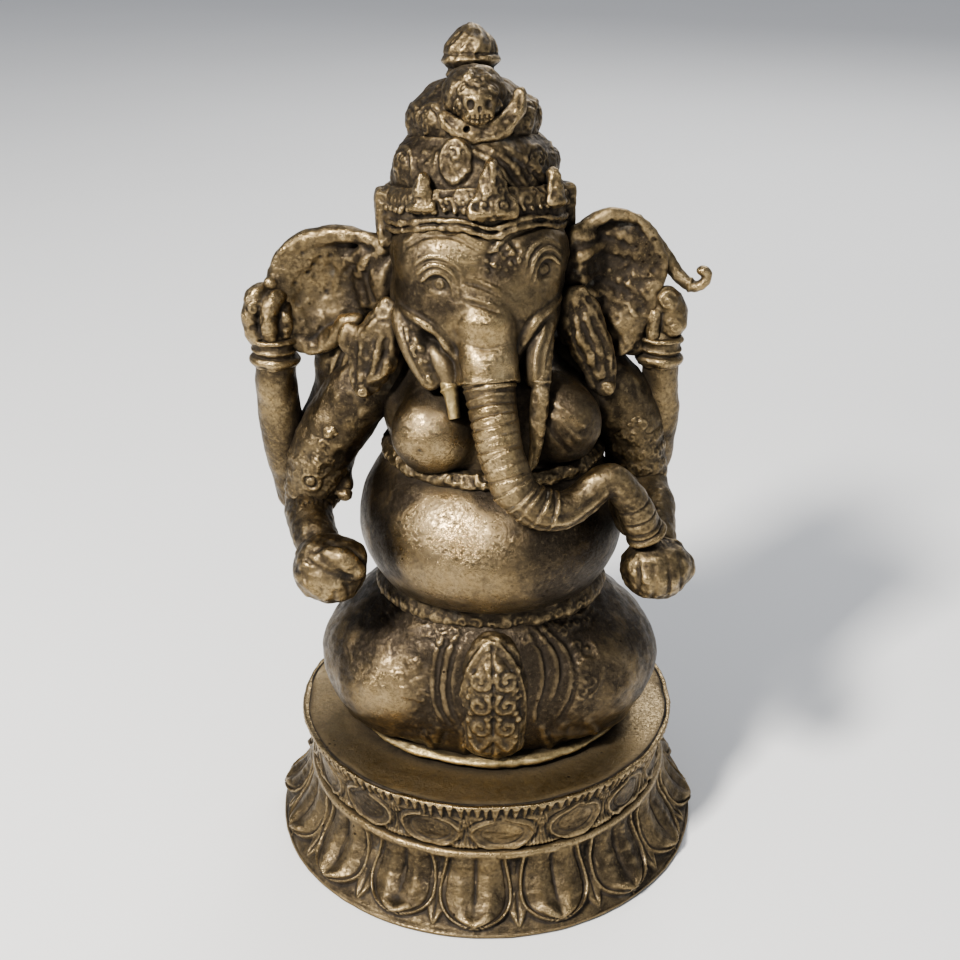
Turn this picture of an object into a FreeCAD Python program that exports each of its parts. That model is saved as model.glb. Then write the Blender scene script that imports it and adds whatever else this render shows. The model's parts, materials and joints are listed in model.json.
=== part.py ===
import FreeCAD, Part
import os
from FreeCAD import Matrix, Placement, Rotation, Vector

# Seated elephant-headed temple figure in cast brass, on a separate two-tier lotus pedestal.
# Millimetres, +Z up.  The figure faces -Y.  Origin: centre of the pedestal's foot, on the surface it
# stands on.  "left" and "right" are the figure's own sides: left is +X, right is -X.

# ---- driving dimensions -------------------------------------------------------------------------
foot_radius = 114.0          # outside of the pedestal's foot ring
foot_rim_height = 5.0        # plain rim below the lower petals
ridge_height = 39.5          # joint between the two lotus tiers
ridge_radius = 95.0
seat_height = 70.0           # top face of the seat plate
seat_radius = 100.0          # outer edge of the upper tier
cast_wall = 4.5              # wall of the hollow castings
seat_plate_thickness = 5.0
lower_petal_count = 16
upper_petal_count = 16
lower_petal_phase = 0.371     # where the first groove falls, as a share of the petal spacing
upper_petal_phase = 0.722

# The figure is built with heights counted from the seat, and raised onto it at the end.
lift_gap = 0.3               # the figure stands this far clear of the seat
sole_thickness = 4.0         # plate under the crossed legs, seen as the bright hem rim
spigot_radius = 12.0         # locating spigot under the figure
spigot_clearance = 0.5
spigot_depth = 12.0
head_centre = Vector(-5.0, -10.0, 233.0)
head_radii = (41.0, 44.0, 44.0)
head_yaw = 7.0               # degrees, face turned to the figure's left
head_pitch = -10.0           # degrees, head and crown lean back

sole_top = lift_gap + sole_thickness
head_turn = Rotation(Vector(0, 0, 1), head_yaw) * Rotation(Vector(1, 0, 0), head_pitch)
head_place = Placement(head_centre, head_turn)

os.makedirs("parts", exist_ok=True)


# ---- geometry helpers ---------------------------------------------------------------------------
def turned(shape, centre, axis, degrees):
    """Copy of the shape turned about an axis through a point."""
    copy = shape.copy()
    copy.rotate(Vector(*centre), Vector(*axis), degrees)
    return copy


def ellipsoid(centre, radii):
    """Closed ellipsoid along the frame's axes, in two half shells so that no face closes on itself."""
    half = Part.makeSphere(1.0, Vector(0, 0, 0), Vector(0, 0, 1), -90, 90, 180)
    ball = half.fuse(turned(half, (0, 0, 0), (0, 0, 1), 180))
    stretch = Matrix()
    stretch.scale(radii[0], radii[1], radii[2])
    solid = ball.transformGeometry(stretch)
    solid.translate(Vector(*centre))
    return solid


def ellipse_wire(x, y, z, rx, ry):
    """Horizontal ellipse as a closed wire, the long way first as OCCT asks."""
    if rx >= ry:
        curve = Part.Ellipse(Vector(x, y, z), rx, ry)
    else:
        curve = Part.Ellipse(Vector(x, y + ry, z), Vector(x - rx, y, z), Vector(x, y, z))
    return Part.Wire([curve.toShape()])


def stacked_ellipses(sections, inset=0.0):
    """Loft through horizontal ellipses given as (z, centre x, centre y, half width, half depth)."""
    wires = [ellipse_wire(x, y, z, rx - inset, ry - inset) for z, x, y, rx, ry in sections]
    return Part.makeLoft(wires, True)


def hollowed(sections, wall):
    """Shell with the given wall: the outer loft less the same loft shrunk and pulled in at both ends."""
    inner = [list(section) for section in sections]
    inner[0][0] += wall
    inner[-1][0] -= wall
    return stacked_ellipses(sections).cut(stacked_ellipses(inner, wall))


def revolved(profile):
    """Solid of revolution about Z from a closed outline of (radius, height) points.

    An entry with four numbers is an arc: the point it passes through, then the point it ends at."""
    edges = []
    start = Vector(profile[0][0], 0, profile[0][1])
    for entry in profile[1:]:
        end = Vector(entry[-2], 0, entry[-1])
        if len(entry) == 4:
            edges.append(Part.Arc(start, Vector(entry[0], 0, entry[1]), end).toShape())
        else:
            edges.append(Part.LineSegment(start, end).toShape())
        start = end
    edges.append(Part.LineSegment(start, Vector(profile[0][0], 0, profile[0][1])).toShape())
    return Part.Face(Part.Wire(edges)).revolve(Vector(0, 0, 0), Vector(0, 0, 1), 360)


def limb(stations, sections=9, grow=0.0, first=0.0, last=1.0):
    """Round limb that tapers along a smooth curve through stations of (x, y, z, radius).

    first and last pick a stretch of the curve, and grow thickens it, for bands worn round a limb."""
    curve = Part.BSplineCurve()
    curve.interpolate([Vector(x, y, z) for x, y, z, r in stations])
    knots = [curve.parameter(Vector(x, y, z)) for x, y, z, r in stations]
    wires = []
    for i in range(sections):
        part = first + (last - first) * i / (sections - 1)
        at = curve.FirstParameter + part * (curve.LastParameter - curve.FirstParameter)
        span = max(k for k in range(len(knots) - 1) if knots[k] <= at + 1e-9)
        share = (at - knots[span]) / (knots[span + 1] - knots[span])
        radius = stations[span][3] + share * (stations[span + 1][3] - stations[span][3]) + grow
        circle = Part.Circle(curve.value(at), curve.tangent(at)[0], radius)
        wires.append(Part.Wire([circle.toShape()]))
    return Part.makeLoft(wires, True)


def on_head(shape):
    """Copy of a shape built about the head's own centre, set in place on the figure."""
    copy = shape.copy()
    copy.Placement = head_place.multiply(copy.Placement)
    return copy


def less(shape, *others):
    """The shape with its neighbours cut away, so that they meet face to face."""
    for other in others:
        shape = shape.cut(other)
    return shape


def biggest(shape):
    """Largest solid of a shape: a cut may leave crumbs on the far side of a neighbour."""
    return max(shape.Solids, key=lambda solid: solid.Volume)


pedestal = {}
figure = {}


# ---- lotus pedestal -----------------------------------------------------------------------------
def petal_grooves(count, radius_low, z_low, radius_high, z_high, groove_radius, phase):
    """Round grooves between petals, as slanted rods spaced round the pedestal."""
    low = Vector(radius_low, 0, z_low)
    high = Vector(radius_high, 0, z_high)
    rod = Part.makeCylinder(groove_radius, (high - low).Length, low, high - low)
    return [turned(rod, (0, 0, 0), (0, 0, 1), 360.0 * (k + phase) / count) for k in range(count)]


def lotus_base_lower():
    """Flared hollow tier of down-turned petals over a plain foot rim."""
    inner_foot = foot_radius - 1.5 * cast_wall
    inner_ridge = ridge_radius - 1.8 * cast_wall
    shell = revolved([
        (inner_foot, 0.0),
        (foot_radius - 1.0, 0.0),
        (foot_radius + 0.5, foot_rim_height / 2, foot_radius - 1.0, foot_rim_height),
        (foot_radius - 2.5, foot_rim_height + 1.5),
        (foot_radius - 5.0, 0.55 * ridge_height, ridge_radius + 1.0, ridge_height - 4.0),
        (ridge_radius - 1.0, ridge_height),
        (inner_ridge, ridge_height),
        (inner_foot - 6.0, 0.5 * ridge_height, inner_foot, foot_rim_height)])
    grooves = petal_grooves(lower_petal_count, foot_radius + 1.0, 9.0, ridge_radius + 4.5, ridge_height, 3.2,
                            lower_petal_phase)
    return less(shell, *grooves)


def lotus_base_upper():
    """Hollow upper tier that flares out to the seat rim, with a ledge for the seat plate."""
    ledge = seat_height - seat_plate_thickness
    shell = revolved([
        (ridge_radius - 9.0, ridge_height),
        (ridge_radius - 3.0, ridge_height),
        (ridge_radius - 0.5, ridge_height + 10.0, seat_radius - 0.5, seat_height - 3.0),
        (seat_radius, seat_height),
        (seat_radius - 4.0, seat_height),
        (seat_radius - 4.0, ledge),
        (seat_radius - 11.0, ledge),
        (ridge_radius - 9.0, ledge - 6.0)])
    grooves = petal_grooves(upper_petal_count, ridge_radius - 1.5, ridge_height + 3.0, seat_radius - 0.5,
                            seat_height - 6.0, 2.4, upper_petal_phase)
    return less(shell, *grooves)


def seat_plate():
    """Smooth disc let into the upper tier, with the socket for the figure's spigot."""
    disc = Part.makeCylinder(seat_radius - 4.0, seat_plate_thickness,
                             Vector(0, 0, seat_height - seat_plate_thickness))
    socket = Part.makeCylinder(spigot_radius + spigot_clearance, seat_height, Vector(0, 0, 0))
    return disc.cut(socket)


pedestal["lotus_base_lower"] = lotus_base_lower()
pedestal["lotus_base_upper"] = lotus_base_upper()
pedestal["seat_plate"] = seat_plate()

# ---- crossed legs, sole and belly ---------------------------------------------------------------
# Sections are (height, centre x, centre y, half width, half depth).
lap_sections = [
    (sole_top, 2, -10, 63, 53),
    (15, 2, -11, 76, 58),
    (28, 1.5, -11, 84, 60),
    (41, 1.5, -11, 86, 61),
    (54, 1, -11, 80, 60),
    (66, 0.5, -10, 69.5, 56),
    (76, 1.5, -8, 59.5, 50),
    (84, 2, -6, 50, 43)]
torso_sections = [
    (84, 2, -10, 50, 43),
    (91, 2, -12, 56, 54),
    (103, 2, -14, 62, 61),
    (119, 2, -14, 63.5, 64),
    (135, 2, -13, 60, 60),
    (148, 2, -10, 53, 52),
    (158, 3, -7, 50, 45),
    (170, 3, -6, 53, 44),
    (183, 3, -4, 55, 42),
    (195, 1, -1, 50, 37),
    (208, -2, 1, 38, 30),
    (217, -4, 2, 28, 24)]
breast_shapes = [
    ((-25, -44, 175), (20, 16, 19)),
    ((38, -41, 178), (19, 15, 19))]


def base_sole():
    """Thin plate under the crossed legs; its edge shows as the hem rim."""
    face = Part.Face(ellipse_wire(2, -9, lift_gap, 69, 58))
    return face.extrude(Vector(0, 0, sole_thickness))


def elliptical_band(x, y, z, rx, ry, height, thickness):
    """Flat upright band that follows a horizontal ellipse."""
    outer = Part.Face(ellipse_wire(x, y, z, rx, ry)).extrude(Vector(0, 0, height))
    inner = Part.Face(ellipse_wire(x, y, z, rx - thickness, ry - thickness)).extrude(Vector(0, 0, height))
    return outer.cut(inner)


def front_sash(lap, torso):
    """Hanging cloth panel between the knees, with a fluted pleat on either side."""
    panel = ellipsoid((3, -66, 41), (17, 10, 37))
    pleats = [ellipsoid((3 + side * 24, -63, 41), (8, 8, 33)) for side in (-1, 1)]
    below = Part.makeBox(200, 200, 100, Vector(-100, -150, sole_top - 100))
    return less(panel.fuse(pleats), lap, torso, below)


lap_outer = stacked_ellipses(lap_sections)
torso_core = stacked_ellipses(torso_sections)
breasts = [ellipsoid(centre, radii) for centre, radii in breast_shapes]
torso_outer = torso_core.fuse(breasts)
head_outer = on_head(ellipsoid((0, 0, 0), head_radii))
head_inner = on_head(ellipsoid((0, 0, 0), [radius - cast_wall for radius in head_radii]))

figure["base_sole"] = base_sole()
figure["locating_spigot"] = Part.makeCylinder(spigot_radius, spigot_depth,
                                              Vector(0, 0, lift_gap - spigot_depth))
figure["lap_casting"] = hollowed(lap_sections, cast_wall)
breast_caps = less(breasts[0].fuse(breasts[1]), torso_core)
figure["torso_casting"] = less(hollowed(torso_sections, cast_wall).fuse(breast_caps), head_outer)
figure["front_sash"] = front_sash(lap_outer, torso_outer)
figure["waist_girdle"] = less(elliptical_band(2, -10, 80, 59, 52, 7, 7), lap_outer, torso_outer)

# ---- arms, hands and their bands ----------------------------------------------------------------
# Stations are (x, y, height, radius) along the limb.
limb_stations = {
    "front_upper_arm_right":
        [(-40, -3, 197, 14), (-60, -6, 183, 16), (-78, -8, 157, 15.5), (-87, -10, 127, 12.5)],
    "front_upper_arm_left":
        [(38, -3, 197, 14), (57, -6, 186, 15), (69, -8, 164, 14), (76, -10, 137, 12.5)],
    "front_forearm_right":
        [(-89, -9, 121, 11.5), (-86, -28, 119, 11), (-80, -44, 114, 10)],
    "front_forearm_left":
        [(78, -11, 133, 11.5), (81, -30, 130, 10.5), (80, -46, 123, 9.5)],
    "rear_forearm_right":
        [(-96, 4, 121, 11.5), (-102, -2, 145, 11), (-103, -6, 173, 10), (-102, -8, 206, 8.5)],
    "rear_forearm_left":
        [(78, 4, 130, 10.5), (83, -1, 153, 10), (84, -4, 176, 9), (83, -6, 206, 8)],
    "rear_upper_arm_right":
        [(-38, 16, 187, 13), (-58, 18, 173, 13), (-80, 14, 145, 12), (-94, 6, 123, 11)],
    "rear_upper_arm_left":
        [(36, 16, 189, 13), (52, 18, 176, 13), (68, 14, 153, 11.5), (77, 6, 132, 10.5)]}
hand_shapes = {
    "front_hand_right": ((-75, -57, 110), (17.5, 15.5, 17)),
    "front_hand_left": ((81, -61, 112), (17, 14.5, 15)),
    "rear_hand_right": ((-104.5, -8, 220), (9.5, 9.5, 12.5)),
    "rear_hand_left": ((86, -7, 221), (10.5, 9.5, 14))}
bare_limbs = {name: limb(stations) for name, stations in limb_stations.items()}
bare_hands = {name: ellipsoid(centre, radii) for name, (centre, radii) in hand_shapes.items()}


def wrist_bracelet(stations):
    """Double-rolled bracelet just below the wrist end of an upright forearm."""
    x, y, z, wrist = stations[-1]
    inside = wrist - 1.5
    bracelet = revolved([
        (inside, -4.5),
        (wrist + 2.4, -4.5),
        (wrist + 3.6, -2.5, wrist + 2.0, -0.6),
        (wrist + 3.4, 1.6, wrist + 1.8, 3.8),
        (inside, 3.8)])
    bracelet.translate(Vector(x, y, z - 5.0))
    return bracelet


def arm_set(side):
    """Arm pieces of one side, each cut to meet the one it is brazed to."""
    upper = less(bare_limbs["front_upper_arm_" + side], torso_outer, head_outer)
    forearm = less(bare_limbs["front_forearm_" + side], upper)
    rear_forearm = less(bare_limbs["rear_forearm_" + side], upper, forearm)
    rear_upper = less(bare_limbs["rear_upper_arm_" + side], torso_outer, upper, forearm, rear_forearm)
    sleeve = limb(limb_stations["front_upper_arm_" + side], 5, grow=2.6, first=0.62, last=0.96)
    armlet = less(sleeve, bare_limbs["front_upper_arm_" + side], torso_outer, forearm, rear_forearm,
                  rear_upper)
    bracelet = wrist_bracelet(limb_stations["rear_forearm_" + side])
    return {
        "front_upper_arm_" + side: biggest(upper),
        "front_forearm_" + side: biggest(forearm),
        "rear_arm_" + side: biggest(rear_forearm.fuse(biggest(rear_upper))),
        "armlet_" + side: biggest(armlet),
        "bracelet_" + side: less(bracelet, bare_limbs["rear_forearm_" + side]),
        "front_hand_" + side: less(bare_hands["front_hand_" + side], bare_limbs["front_forearm_" + side]),
        "rear_hand_" + side: less(bare_hands["rear_hand_" + side], bare_limbs["rear_forearm_" + side],
                                  bracelet)}


figure.update(arm_set("right"))
figure.update(arm_set("left"))
arm_pieces = [figure[kind + side] for kind in ("front_upper_arm_", "rear_arm_", "armlet_")
              for side in ("right", "left")]
figure["chest_band"] = biggest(less(elliptical_band(3, -8, 154, 56, 50, 5, 7), torso_outer, *arm_pieces))

# ---- trunk, tusks, ears and what the raised left hand holds --------------------------------------
trunk_stations = [
    (1, -44, 217, 14.5), (2, -55, 201, 12.8), (5, -65, 184, 11.3), (11, -73, 167, 10.5), (21, -77, 154, 10),
    (33, -76.5, 149.5, 9.6), (44, -72.5, 154, 8.8), (52, -69, 160, 7.8), (60, -67, 159, 7.8),
    (68, -65, 148.5, 8.6), (75, -62, 134, 9.6)]
broken_tusk_stations = [(-21, -34, 219, 6.5), (-18, -47, 205, 6), (-14, -53, 191, 3.8)]
tusk_stations = [(27, -34, 225, 6), (27, -46, 208, 5.2), (26.5, -52, 188, 3.4), (24.5, -56, 166, 1.2)]
goad_stations = [
    (70, 6, 263, 4.5), (78, 3, 254, 4.2), (86, 0, 242, 3.8), (94, -4, 233, 3.4), (100.5, -6, 233, 3),
    (103, -6, 239, 3.2)]


def dished_ear(centre, radii, hinge, degrees):
    """Broad ear with a hollowed front face, swung about its root beside the head."""
    x, y, z = centre
    rx, ry, rz = radii
    hollow = ellipsoid((x, y - 12.5, z), (rx - 4, ry + 2, rz - 5))
    plate = less(ellipsoid(centre, radii), hollow)
    return turned(plate, hinge, (0, 0, 1), degrees)


def beside_head(shape, side):
    """An ear piece, cut to meet the head, body and raised arm of its side."""
    touching = [figure[name + side] for name in ("front_upper_arm_", "rear_arm_", "rear_hand_", "bracelet_")]
    return biggest(less(shape, head_outer, torso_outer, *touching))


ear_right = dished_ear((-71, -3, 231), (33, 9, 28), (-40, 0, 231), -8)
ear_left = dished_ear((58, -1, 239), (26, 9, 31), (36, 0, 239), 8)
trunk = limb(trunk_stations, 25)
figure["head_casting"] = head_outer.cut(head_inner)
figure["trunk"] = biggest(less(trunk, head_outer, torso_outer, figure["front_hand_left"],
                               figure["front_forearm_left"]))
figure["tusk_broken_right"] = biggest(less(limb(broken_tusk_stations, 7), head_outer, trunk, torso_outer))
figure["tusk_left"] = biggest(less(limb(tusk_stations, 9), head_outer, trunk, torso_outer))
figure["ear_right"] = beside_head(ear_right, "right")
figure["ear_left"] = beside_head(ear_left, "left")
figure["ear_pendant_right"] = beside_head(less(ellipsoid((-56, -25, 206), (11, 7, 21)), ear_right), "right")
figure["ear_pendant_left"] = beside_head(less(ellipsoid((48, -23, 208), (11.5, 7, 22)), ear_left), "left")
figure["goad"] = biggest(less(limb(goad_stations, 16), ear_left, figure["rear_hand_left"]))

# ---- crown, built about the head's centre and leaned back with it --------------------------------
band_low = 29.0
band_high = 46.0
lower_tier_top = 70.0
upper_tier_top = 91.0
finial_top = 119.0
tip_radius = 0.8


def crown_band():
    """Diadem ring with a flange over each temple."""
    ring = revolved([
        (36.0, band_low),
        (44.0, band_low),
        (45.5, band_low + 2.5, 43.5, band_low + 5.0),
        (42.5, band_high - 3.0),
        (43.5, band_high),
        (36.0, band_high)])
    flange = Part.makeBox(6.0, 16.0, 22.0, Vector(39.5, -10.0, band_low - 5.0))
    return ring.fuse([flange, flange.mirror(Vector(0, 0, 0), Vector(1, 0, 0))])


def crown_tier(z_low, z_high, r_low, r_wide, r_high):
    """One swelling tier of the crown, hollow below."""
    z_wide = z_low + 0.42 * (z_high - z_low)
    return revolved([
        (r_low - cast_wall, z_low),
        (r_low, z_low),
        (r_wide, z_wide, r_high, z_high),
        (0.0, z_high),
        (0.0, z_high - cast_wall),
        (r_high - cast_wall, z_high - cast_wall)])


def crown_finial():
    """Bud on a short neck, swelling to a rounded point."""
    return revolved([
        (0.0, upper_tier_top),
        (14.0, upper_tier_top),
        (12.0, upper_tier_top + 4.0),
        (14.0, upper_tier_top + 9.0, 12.5, upper_tier_top + 14.0),
        (9.0, upper_tier_top + 22.0, tip_radius, finial_top),
        (0.0, finial_top)])


def leaf(half_width, height, thickness):
    """Upright pointed leaf plate in the XZ plane, from z = 0 up to its tip."""
    foot_left = Vector(-0.7 * half_width, 0, 0)
    foot_right = Vector(0.7 * half_width, 0, 0)
    tip = Vector(0, 0, height)
    widest = 0.38 * height
    outline = Part.Wire([
        Part.LineSegment(foot_left, foot_right).toShape(),
        Part.Arc(foot_right, Vector(half_width, 0, widest), tip).toShape(),
        Part.Arc(tip, Vector(-half_width, 0, widest), foot_left).toShape()])
    return Part.Face(outline).extrude(Vector(0, thickness, 0))


def antefix(half_width, height, rise, turn, radius=45.0):
    """Leaf plate standing on the front of the diadem, turned round the crown."""
    plate = leaf(half_width, height, 6.0)
    plate.translate(Vector(0, -radius, band_low + rise))
    return turned(plate, (0, 0, 0), (0, 0, 1), turn)


def crescent(x, y, z, roll):
    """Upturned crescent moon, thickest below and pointed at both ends."""
    front = Vector(0, -1, 0)
    moon = less(Part.makeCylinder(17.0, 6.0, Vector(x, y, z), front),
                Part.makeCylinder(21.5, 20.0, Vector(x, y + 5.0, z + 10.5), front))
    return turned(moon, (x, y, z), (0, 1, 0), roll)


band = crown_band()
lower_tier = crown_tier(band_high, lower_tier_top, 36.0, 39.0, 30.0)
upper_tier = crown_tier(lower_tier_top, upper_tier_top, 28.5, 32.0, 19.0)
finial = crown_finial()
skull = ellipsoid((2, -32.0, 86.5), (9.5, 9.0, 9.5))
moon = crescent(2, -31.0, 85.5, -17)
front_antefix = antefix(12.0, 28.0, 6.0, 5.0)
side_antefixes = Part.makeCompound([antefix(6.5, 17.0, 11.0, turn) for turn in (-38.0, 50.0)])
figure["crown_band"] = biggest(less(on_head(band), head_outer, figure["ear_right"], figure["ear_left"]))
figure["crown_lower_tier"] = less(on_head(lower_tier), head_outer)
figure["crown_upper_tier"] = on_head(upper_tier)
figure["crown_finial"] = on_head(finial)
figure["front_antefix"] = biggest(on_head(less(front_antefix, band, lower_tier)))
figure["side_antefixes"] = on_head(less(side_antefixes, band, lower_tier))
figure["skull_ornament"] = biggest(on_head(less(skull, upper_tier, finial)))
figure["crescent_ornament"] = biggest(on_head(less(moon, upper_tier, lower_tier, skull)))

# ---- output -------------------------------------------------------------------------------------
def write_node(name, shape):
    """Check that a node is whole, then write its solids to one STEP file."""
    if not shape.isValid() or not shape.Solids:
        raise RuntimeError(name + " is not a valid solid")
    kept = shape.Solids[0] if len(shape.Solids) == 1 else Part.makeCompound(shape.Solids)
    kept.exportStep("parts/" + name + ".step")
    print("%-24s solids %d, volume %.0f mm3" % (name, len(shape.Solids), kept.Volume))


for name, shape in pedestal.items():
    write_node(name, shape)
for name, shape in figure.items():
    shape.translate(Vector(0, 0, seat_height))
    write_node(name, shape)
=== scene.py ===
"""Looks of the seated elephant-headed temple figure on its lotus pedestal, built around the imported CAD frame.

Every casting is modelled as clay: a signed distance field on a grid, in millimetres, that is added to, cut,
stroked and stamped, and then turned into a mesh.  The pedestal is turned, with its petals as relief.  Figure
coordinates are x, y and the height above the seat; "left" and "right" are the figure's own sides."""

import json
import math
from concurrent.futures import ThreadPoolExecutor

import bpy
import numpy as np
import openvdb
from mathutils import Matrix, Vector


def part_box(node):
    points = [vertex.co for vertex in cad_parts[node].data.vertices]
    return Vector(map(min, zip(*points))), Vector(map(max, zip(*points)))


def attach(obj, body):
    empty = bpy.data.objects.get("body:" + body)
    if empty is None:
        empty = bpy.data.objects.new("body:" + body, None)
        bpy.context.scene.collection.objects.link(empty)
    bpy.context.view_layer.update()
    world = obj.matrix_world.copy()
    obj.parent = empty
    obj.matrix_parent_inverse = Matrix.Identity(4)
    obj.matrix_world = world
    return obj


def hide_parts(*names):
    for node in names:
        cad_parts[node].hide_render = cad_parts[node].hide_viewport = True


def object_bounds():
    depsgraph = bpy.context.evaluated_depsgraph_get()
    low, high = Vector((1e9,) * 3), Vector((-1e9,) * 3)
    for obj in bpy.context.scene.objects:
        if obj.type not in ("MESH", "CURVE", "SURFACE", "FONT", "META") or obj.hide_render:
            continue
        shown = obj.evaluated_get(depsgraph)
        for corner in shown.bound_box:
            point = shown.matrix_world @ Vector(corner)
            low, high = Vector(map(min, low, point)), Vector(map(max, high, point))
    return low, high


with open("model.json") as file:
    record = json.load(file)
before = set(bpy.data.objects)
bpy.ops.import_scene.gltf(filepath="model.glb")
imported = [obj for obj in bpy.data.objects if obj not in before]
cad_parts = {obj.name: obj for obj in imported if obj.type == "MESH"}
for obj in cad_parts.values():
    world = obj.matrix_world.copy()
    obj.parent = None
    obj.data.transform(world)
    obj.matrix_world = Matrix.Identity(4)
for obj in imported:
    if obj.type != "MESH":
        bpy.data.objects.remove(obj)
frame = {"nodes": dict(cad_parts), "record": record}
cad_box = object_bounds()

MM = 0.001
REACH = 4.0                       # how far from a shape its distance is worked out, in mm
SEARCH, SEARCH_STEP = 14.0, 0.4   # how far either side a surface is looked for, and in what steps, in mm
FINE_REACH, BROAD_REACH = 0.9, 3.0      # over how far a hollow is measured, in mm
FLOOR_HALF, FLOOR_DROP = 9.0, 0.0004    # the floor's half width and its gap under the pedestal, in m
COARSEN = 1.0
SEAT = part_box("seat_plate")[1].z / MM
FRONT = (0.0, -1.0, 0.0)


# ---- small vector helpers -------------------------------------------------------------------------
def unit(v):
    v = np.asarray(v, float)
    return v / max(np.linalg.norm(v), 1e-9)


def turn_about(axis, degrees):
    """3x3 rotation about x, y or z."""
    c, s = math.cos(math.radians(degrees)), math.sin(math.radians(degrees))
    rows = {"x": [[1, 0, 0], [0, c, -s], [0, s, c]],
            "y": [[c, 0, s], [0, 1, 0], [-s, 0, c]],
            "z": [[c, -s, 0], [s, c, 0], [0, 0, 1]]}
    return np.array(rows[axis])


def smooth_path(points, count):
    """Catmull-Rom curve through rows of numbers, sampled evenly in the rows' own spacing."""
    rows = np.asarray(points, float)
    if len(rows) < 3:
        return rows[0] + np.linspace(0, 1, count)[:, None] * (rows[-1] - rows[0])
    padded = np.vstack([2 * rows[0] - rows[1], rows, 2 * rows[-1] - rows[-2]])
    spots = np.linspace(0, len(rows) - 1.000001, count)
    k = spots.astype(int)
    t = (spots - k)[:, None]
    a, b, c, d = padded[k], padded[k + 1], padded[k + 2], padded[k + 3]
    return 0.5 * (2 * b + (c - a) * t + (2 * a - 5 * b + 4 * c - d) * t ** 2
                  + (3 * b - a - 3 * c + d) * t ** 3)


def spiral(centre, size, turns=1.4, start=0.0, hand=1, across=(1, 0, 0), up=(0, 0, 1), count=22):
    """Points of a scroll that winds in to its centre."""
    t = np.linspace(0, 1, count)
    angle = math.radians(start) + hand * turns * 2 * math.pi * t
    radius = size * (1 - 0.82 * t)
    flat = radius[:, None] * (np.cos(angle)[:, None] * np.array(across, float)
                              + np.sin(angle)[:, None] * np.array(up, float))
    return np.asarray(centre, float) + flat


def ring_points(centre, size, stretch=1.0, count=20, across=(1, 0, 0), up=(0, 0, 1)):
    """Closed ring of points, for rosettes and eyelets."""
    angle = np.linspace(0, 2 * math.pi, count)
    return (np.asarray(centre, float) + size * np.cos(angle)[:, None] * np.array(across, float)
            + size * stretch * np.sin(angle)[:, None] * np.array(up, float))


# ---- shapes: each gives a distance function and the box that it matters in --------------------------
def about_centre(centre, turn, x, y, z):
    """Coordinates about a shape's centre, along its own axes where it is turned."""
    p = (x - centre[0], y - centre[1], z - centre[2])
    if turn is None:
        return p
    inverse = np.asarray(turn).T
    return [sum(inverse[i, j] * p[j] for j in range(3)) for i in range(3)]


def ball(centre, radii, turn=None):
    """Ellipsoid, optionally turned."""
    centre, radii = np.asarray(centre, float), np.asarray(radii, float)
    spread = radii.max() if turn is not None else radii

    def distance(x, y, z):
        p = about_centre(centre, turn, x, y, z)
        near = np.sqrt(sum((p[i] / radii[i]) ** 2 for i in range(3)))
        steep = np.sqrt(sum((p[i] / radii[i] ** 2) ** 2 for i in range(3)))
        return near * (near - 1) / np.maximum(steep, 1e-6)

    return distance, centre - spread, centre + spread


def rod(a, b, ra, rb):
    """Straight rod with round ends and its own radius at each end."""
    a, b = np.asarray(a, float), np.asarray(b, float)
    along = b - a
    length2 = max(along @ along, 1e-9)

    def distance(x, y, z):
        px, py, pz = x - a[0], y - a[1], z - a[2]
        t = np.clip((px * along[0] + py * along[1] + pz * along[2]) / length2, 0, 1)
        gap = np.sqrt((px - t * along[0]) ** 2 + (py - t * along[1]) ** 2 + (pz - t * along[2]) ** 2)
        return gap - (ra + (rb - ra) * t)

    low = np.minimum(a - ra, b - rb)
    high = np.maximum(a + ra, b + rb)
    return distance, low, high


def slab(centre, half, soft=1.0, turn=None):
    """Block with rounded edges, optionally turned."""
    centre, half = np.asarray(centre, float), np.asarray(half, float)
    spread = np.linalg.norm(half) if turn is not None else half

    def distance(x, y, z):
        p = about_centre(centre, turn, x, y, z)
        q = [np.abs(p[i]) - half[i] + soft for i in range(3)]
        outside = np.sqrt(sum(np.maximum(part, 0) ** 2 for part in q))
        inside = np.minimum(np.maximum(q[0], np.maximum(q[1], q[2])), 0)
        return outside + inside - soft

    return distance, centre - spread, centre + spread


def stack(sections):
    """Body through horizontal ellipses (height, centre x, centre y, half width, half depth)."""
    rows = np.asarray(sections, float)
    fine = smooth_path(rows, 12 * len(rows))
    order = np.argsort(fine[:, 0])
    fine = fine[order]

    def distance(x, y, z):
        heights = z[0, 0]
        cx, cy, rx, ry = (np.interp(heights, fine[:, 0], fine[:, i])[None, None] for i in (1, 2, 3, 4))
        dx, dy = x - cx, y - cy
        near = np.sqrt((dx / rx) ** 2 + (dy / ry) ** 2)
        lean = np.abs(np.gradient(rx[0, 0], heights)) if len(heights) > 1 else np.zeros(1)
        side = (near - 1) * np.minimum(rx, ry) / np.sqrt(1 + np.minimum(lean, 2.5) ** 2)[None, None]
        ends = np.maximum(rows[0, 0] - heights, heights - rows[-1, 0])[None, None]
        return np.maximum(side, ends)

    low = [rows[:, 1].min() - rows[:, 3].max(), rows[:, 2].min() - rows[:, 4].max(), rows[0, 0]]
    high = [rows[:, 1].max() + rows[:, 3].max(), rows[:, 2].max() + rows[:, 4].max(), rows[-1, 0]]
    return distance, np.array(low), np.array(high)


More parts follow.
